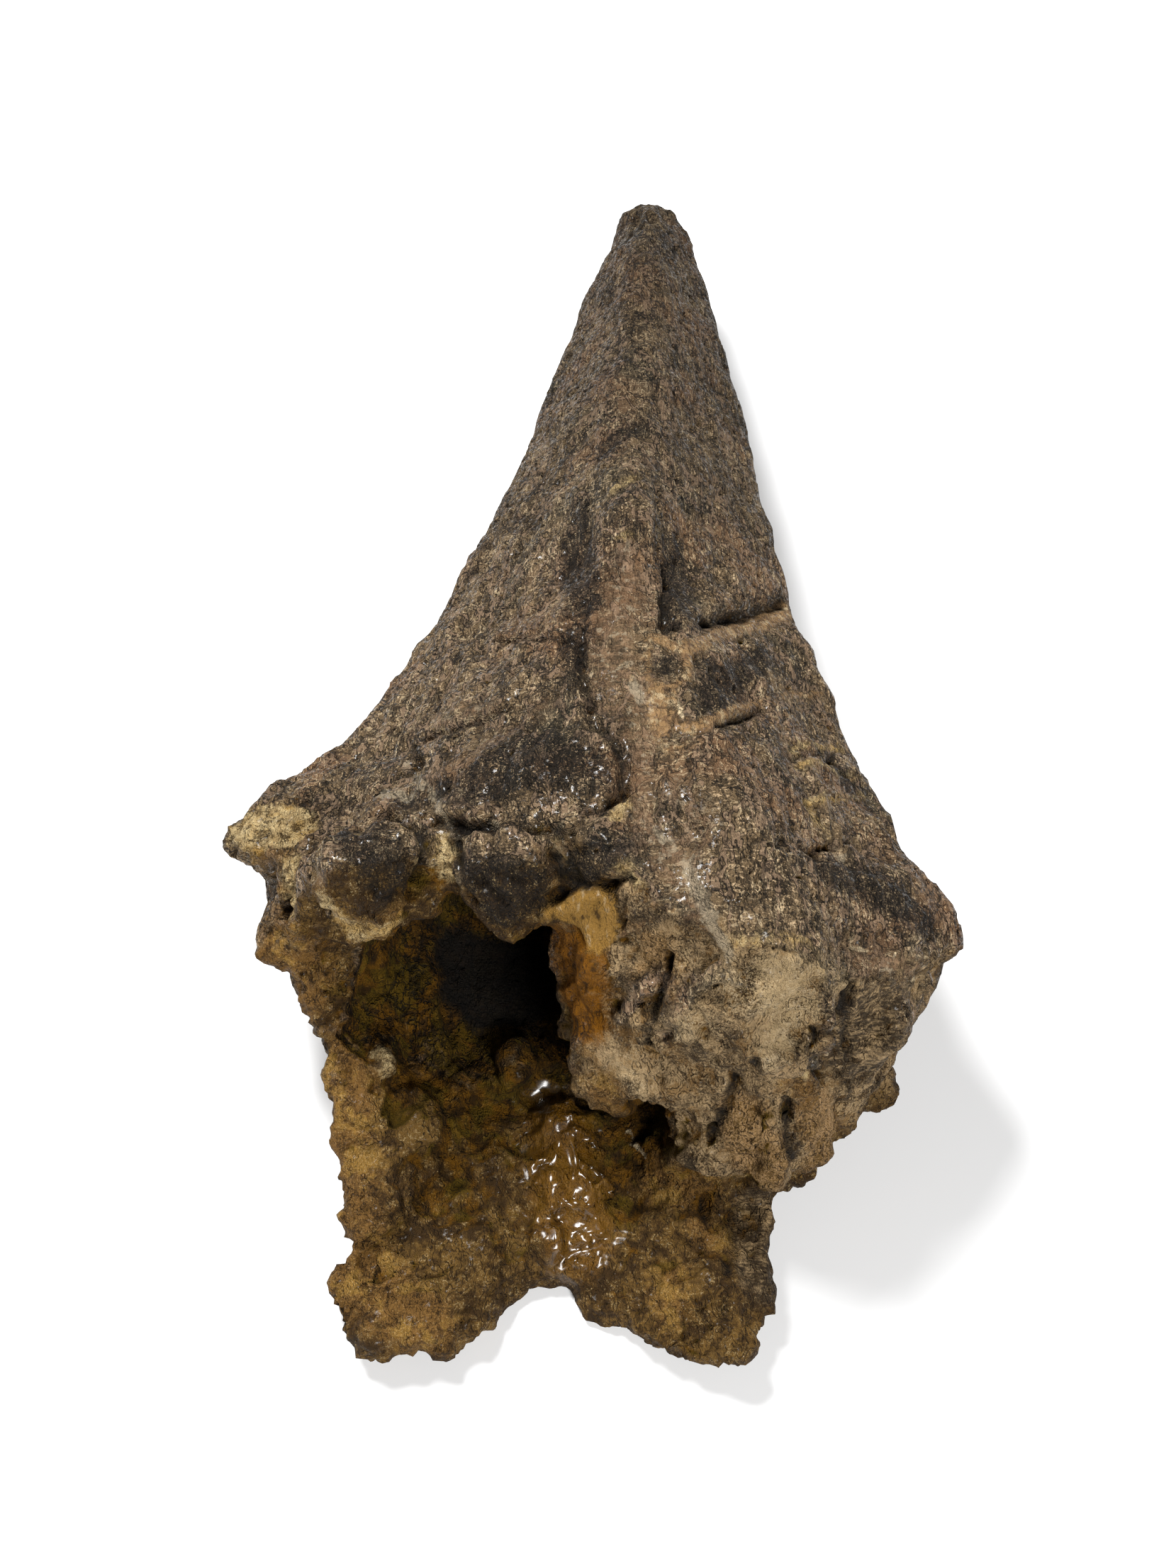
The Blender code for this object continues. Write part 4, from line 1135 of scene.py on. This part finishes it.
paint.feed(paint.shader.inputs["Base Color"], tone)
paint.feed(paint.shader.inputs["Roughness"], 0.80 - sheen * 0.20 - bubble_mask * 0.40)
paint.feed(paint.shader.inputs["Coat Weight"], (bubble_mask * 0.9).most(sheen * 0.5))
paint.feed(paint.shader.inputs["Normal"], bumps)
paint.shader.inputs["Coat Roughness"].default_value = COAT_ROUGHNESS
paint.shader.inputs["Specular IOR Level"].default_value = BASE_SPECULAR
print("finish:", len(paint.tree.nodes), "nodes")

# %% [markdown]
# The bone rides on the only body and stands for the imported solid, which stays behind for collisions,
# hidden.
# The studio is plain: a pale floor, one big soft lamp overhead towards the back, as the glints in the
# photograph show, a weaker one in front, and pale air all round.

# %% Studio
bone.data.materials.clear()
bone.data.materials.append(bone_finish)
bone.data.update()
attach(bone, "root")
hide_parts("scute")


def add_floor(size):
    bm = bmesh.new()
    bmesh.ops.create_grid(bm, x_segments=1, y_segments=1, size=size / 2)
    mesh = bpy.data.meshes.new("floor")
    bm.to_mesh(mesh)
    bm.free()
    floor = bpy.data.objects.new("floor", mesh)
    bpy.context.scene.collection.objects.link(floor)
    pale = bpy.data.materials.new("pale floor")
    pale.use_nodes = True
    pale.node_tree.nodes["Principled BSDF"].inputs["Base Color"].default_value = (0.86, 0.86, 0.86, 1)
    pale.node_tree.nodes["Principled BSDF"].inputs["Roughness"].default_value = 0.9
    mesh.materials.append(pale)


def add_softbox(name, place, size, watts):
    lamp = bpy.data.lights.new(name, "AREA")
    lamp.shape, lamp.size, lamp.energy = "DISK", size, watts
    softbox = bpy.data.objects.new(name, lamp)
    softbox.location = place
    softbox.rotation_euler = (Vector((0, 0, 0.03)) - Vector(place)).to_track_quat("-Z", "Y").to_euler()
    bpy.context.scene.collection.objects.link(softbox)


def add_air(strength):
    world = bpy.data.worlds.new("studio air")
    world.use_nodes = True
    world.node_tree.nodes["Background"].inputs["Color"].default_value = (1, 1, 1, 1)
    world.node_tree.nodes["Background"].inputs["Strength"].default_value = strength
    bpy.context.scene.world = world


bpy.context.scene.view_settings.view_transform = "Standard"
add_floor(4.0)
add_softbox("overhead", (-0.30, 0.25, 0.78), 0.30, 12.0)
add_softbox("front fill", (0.30, -0.85, 0.70), 0.35, 13.0)
add_air(0.12)
print("studio lit")
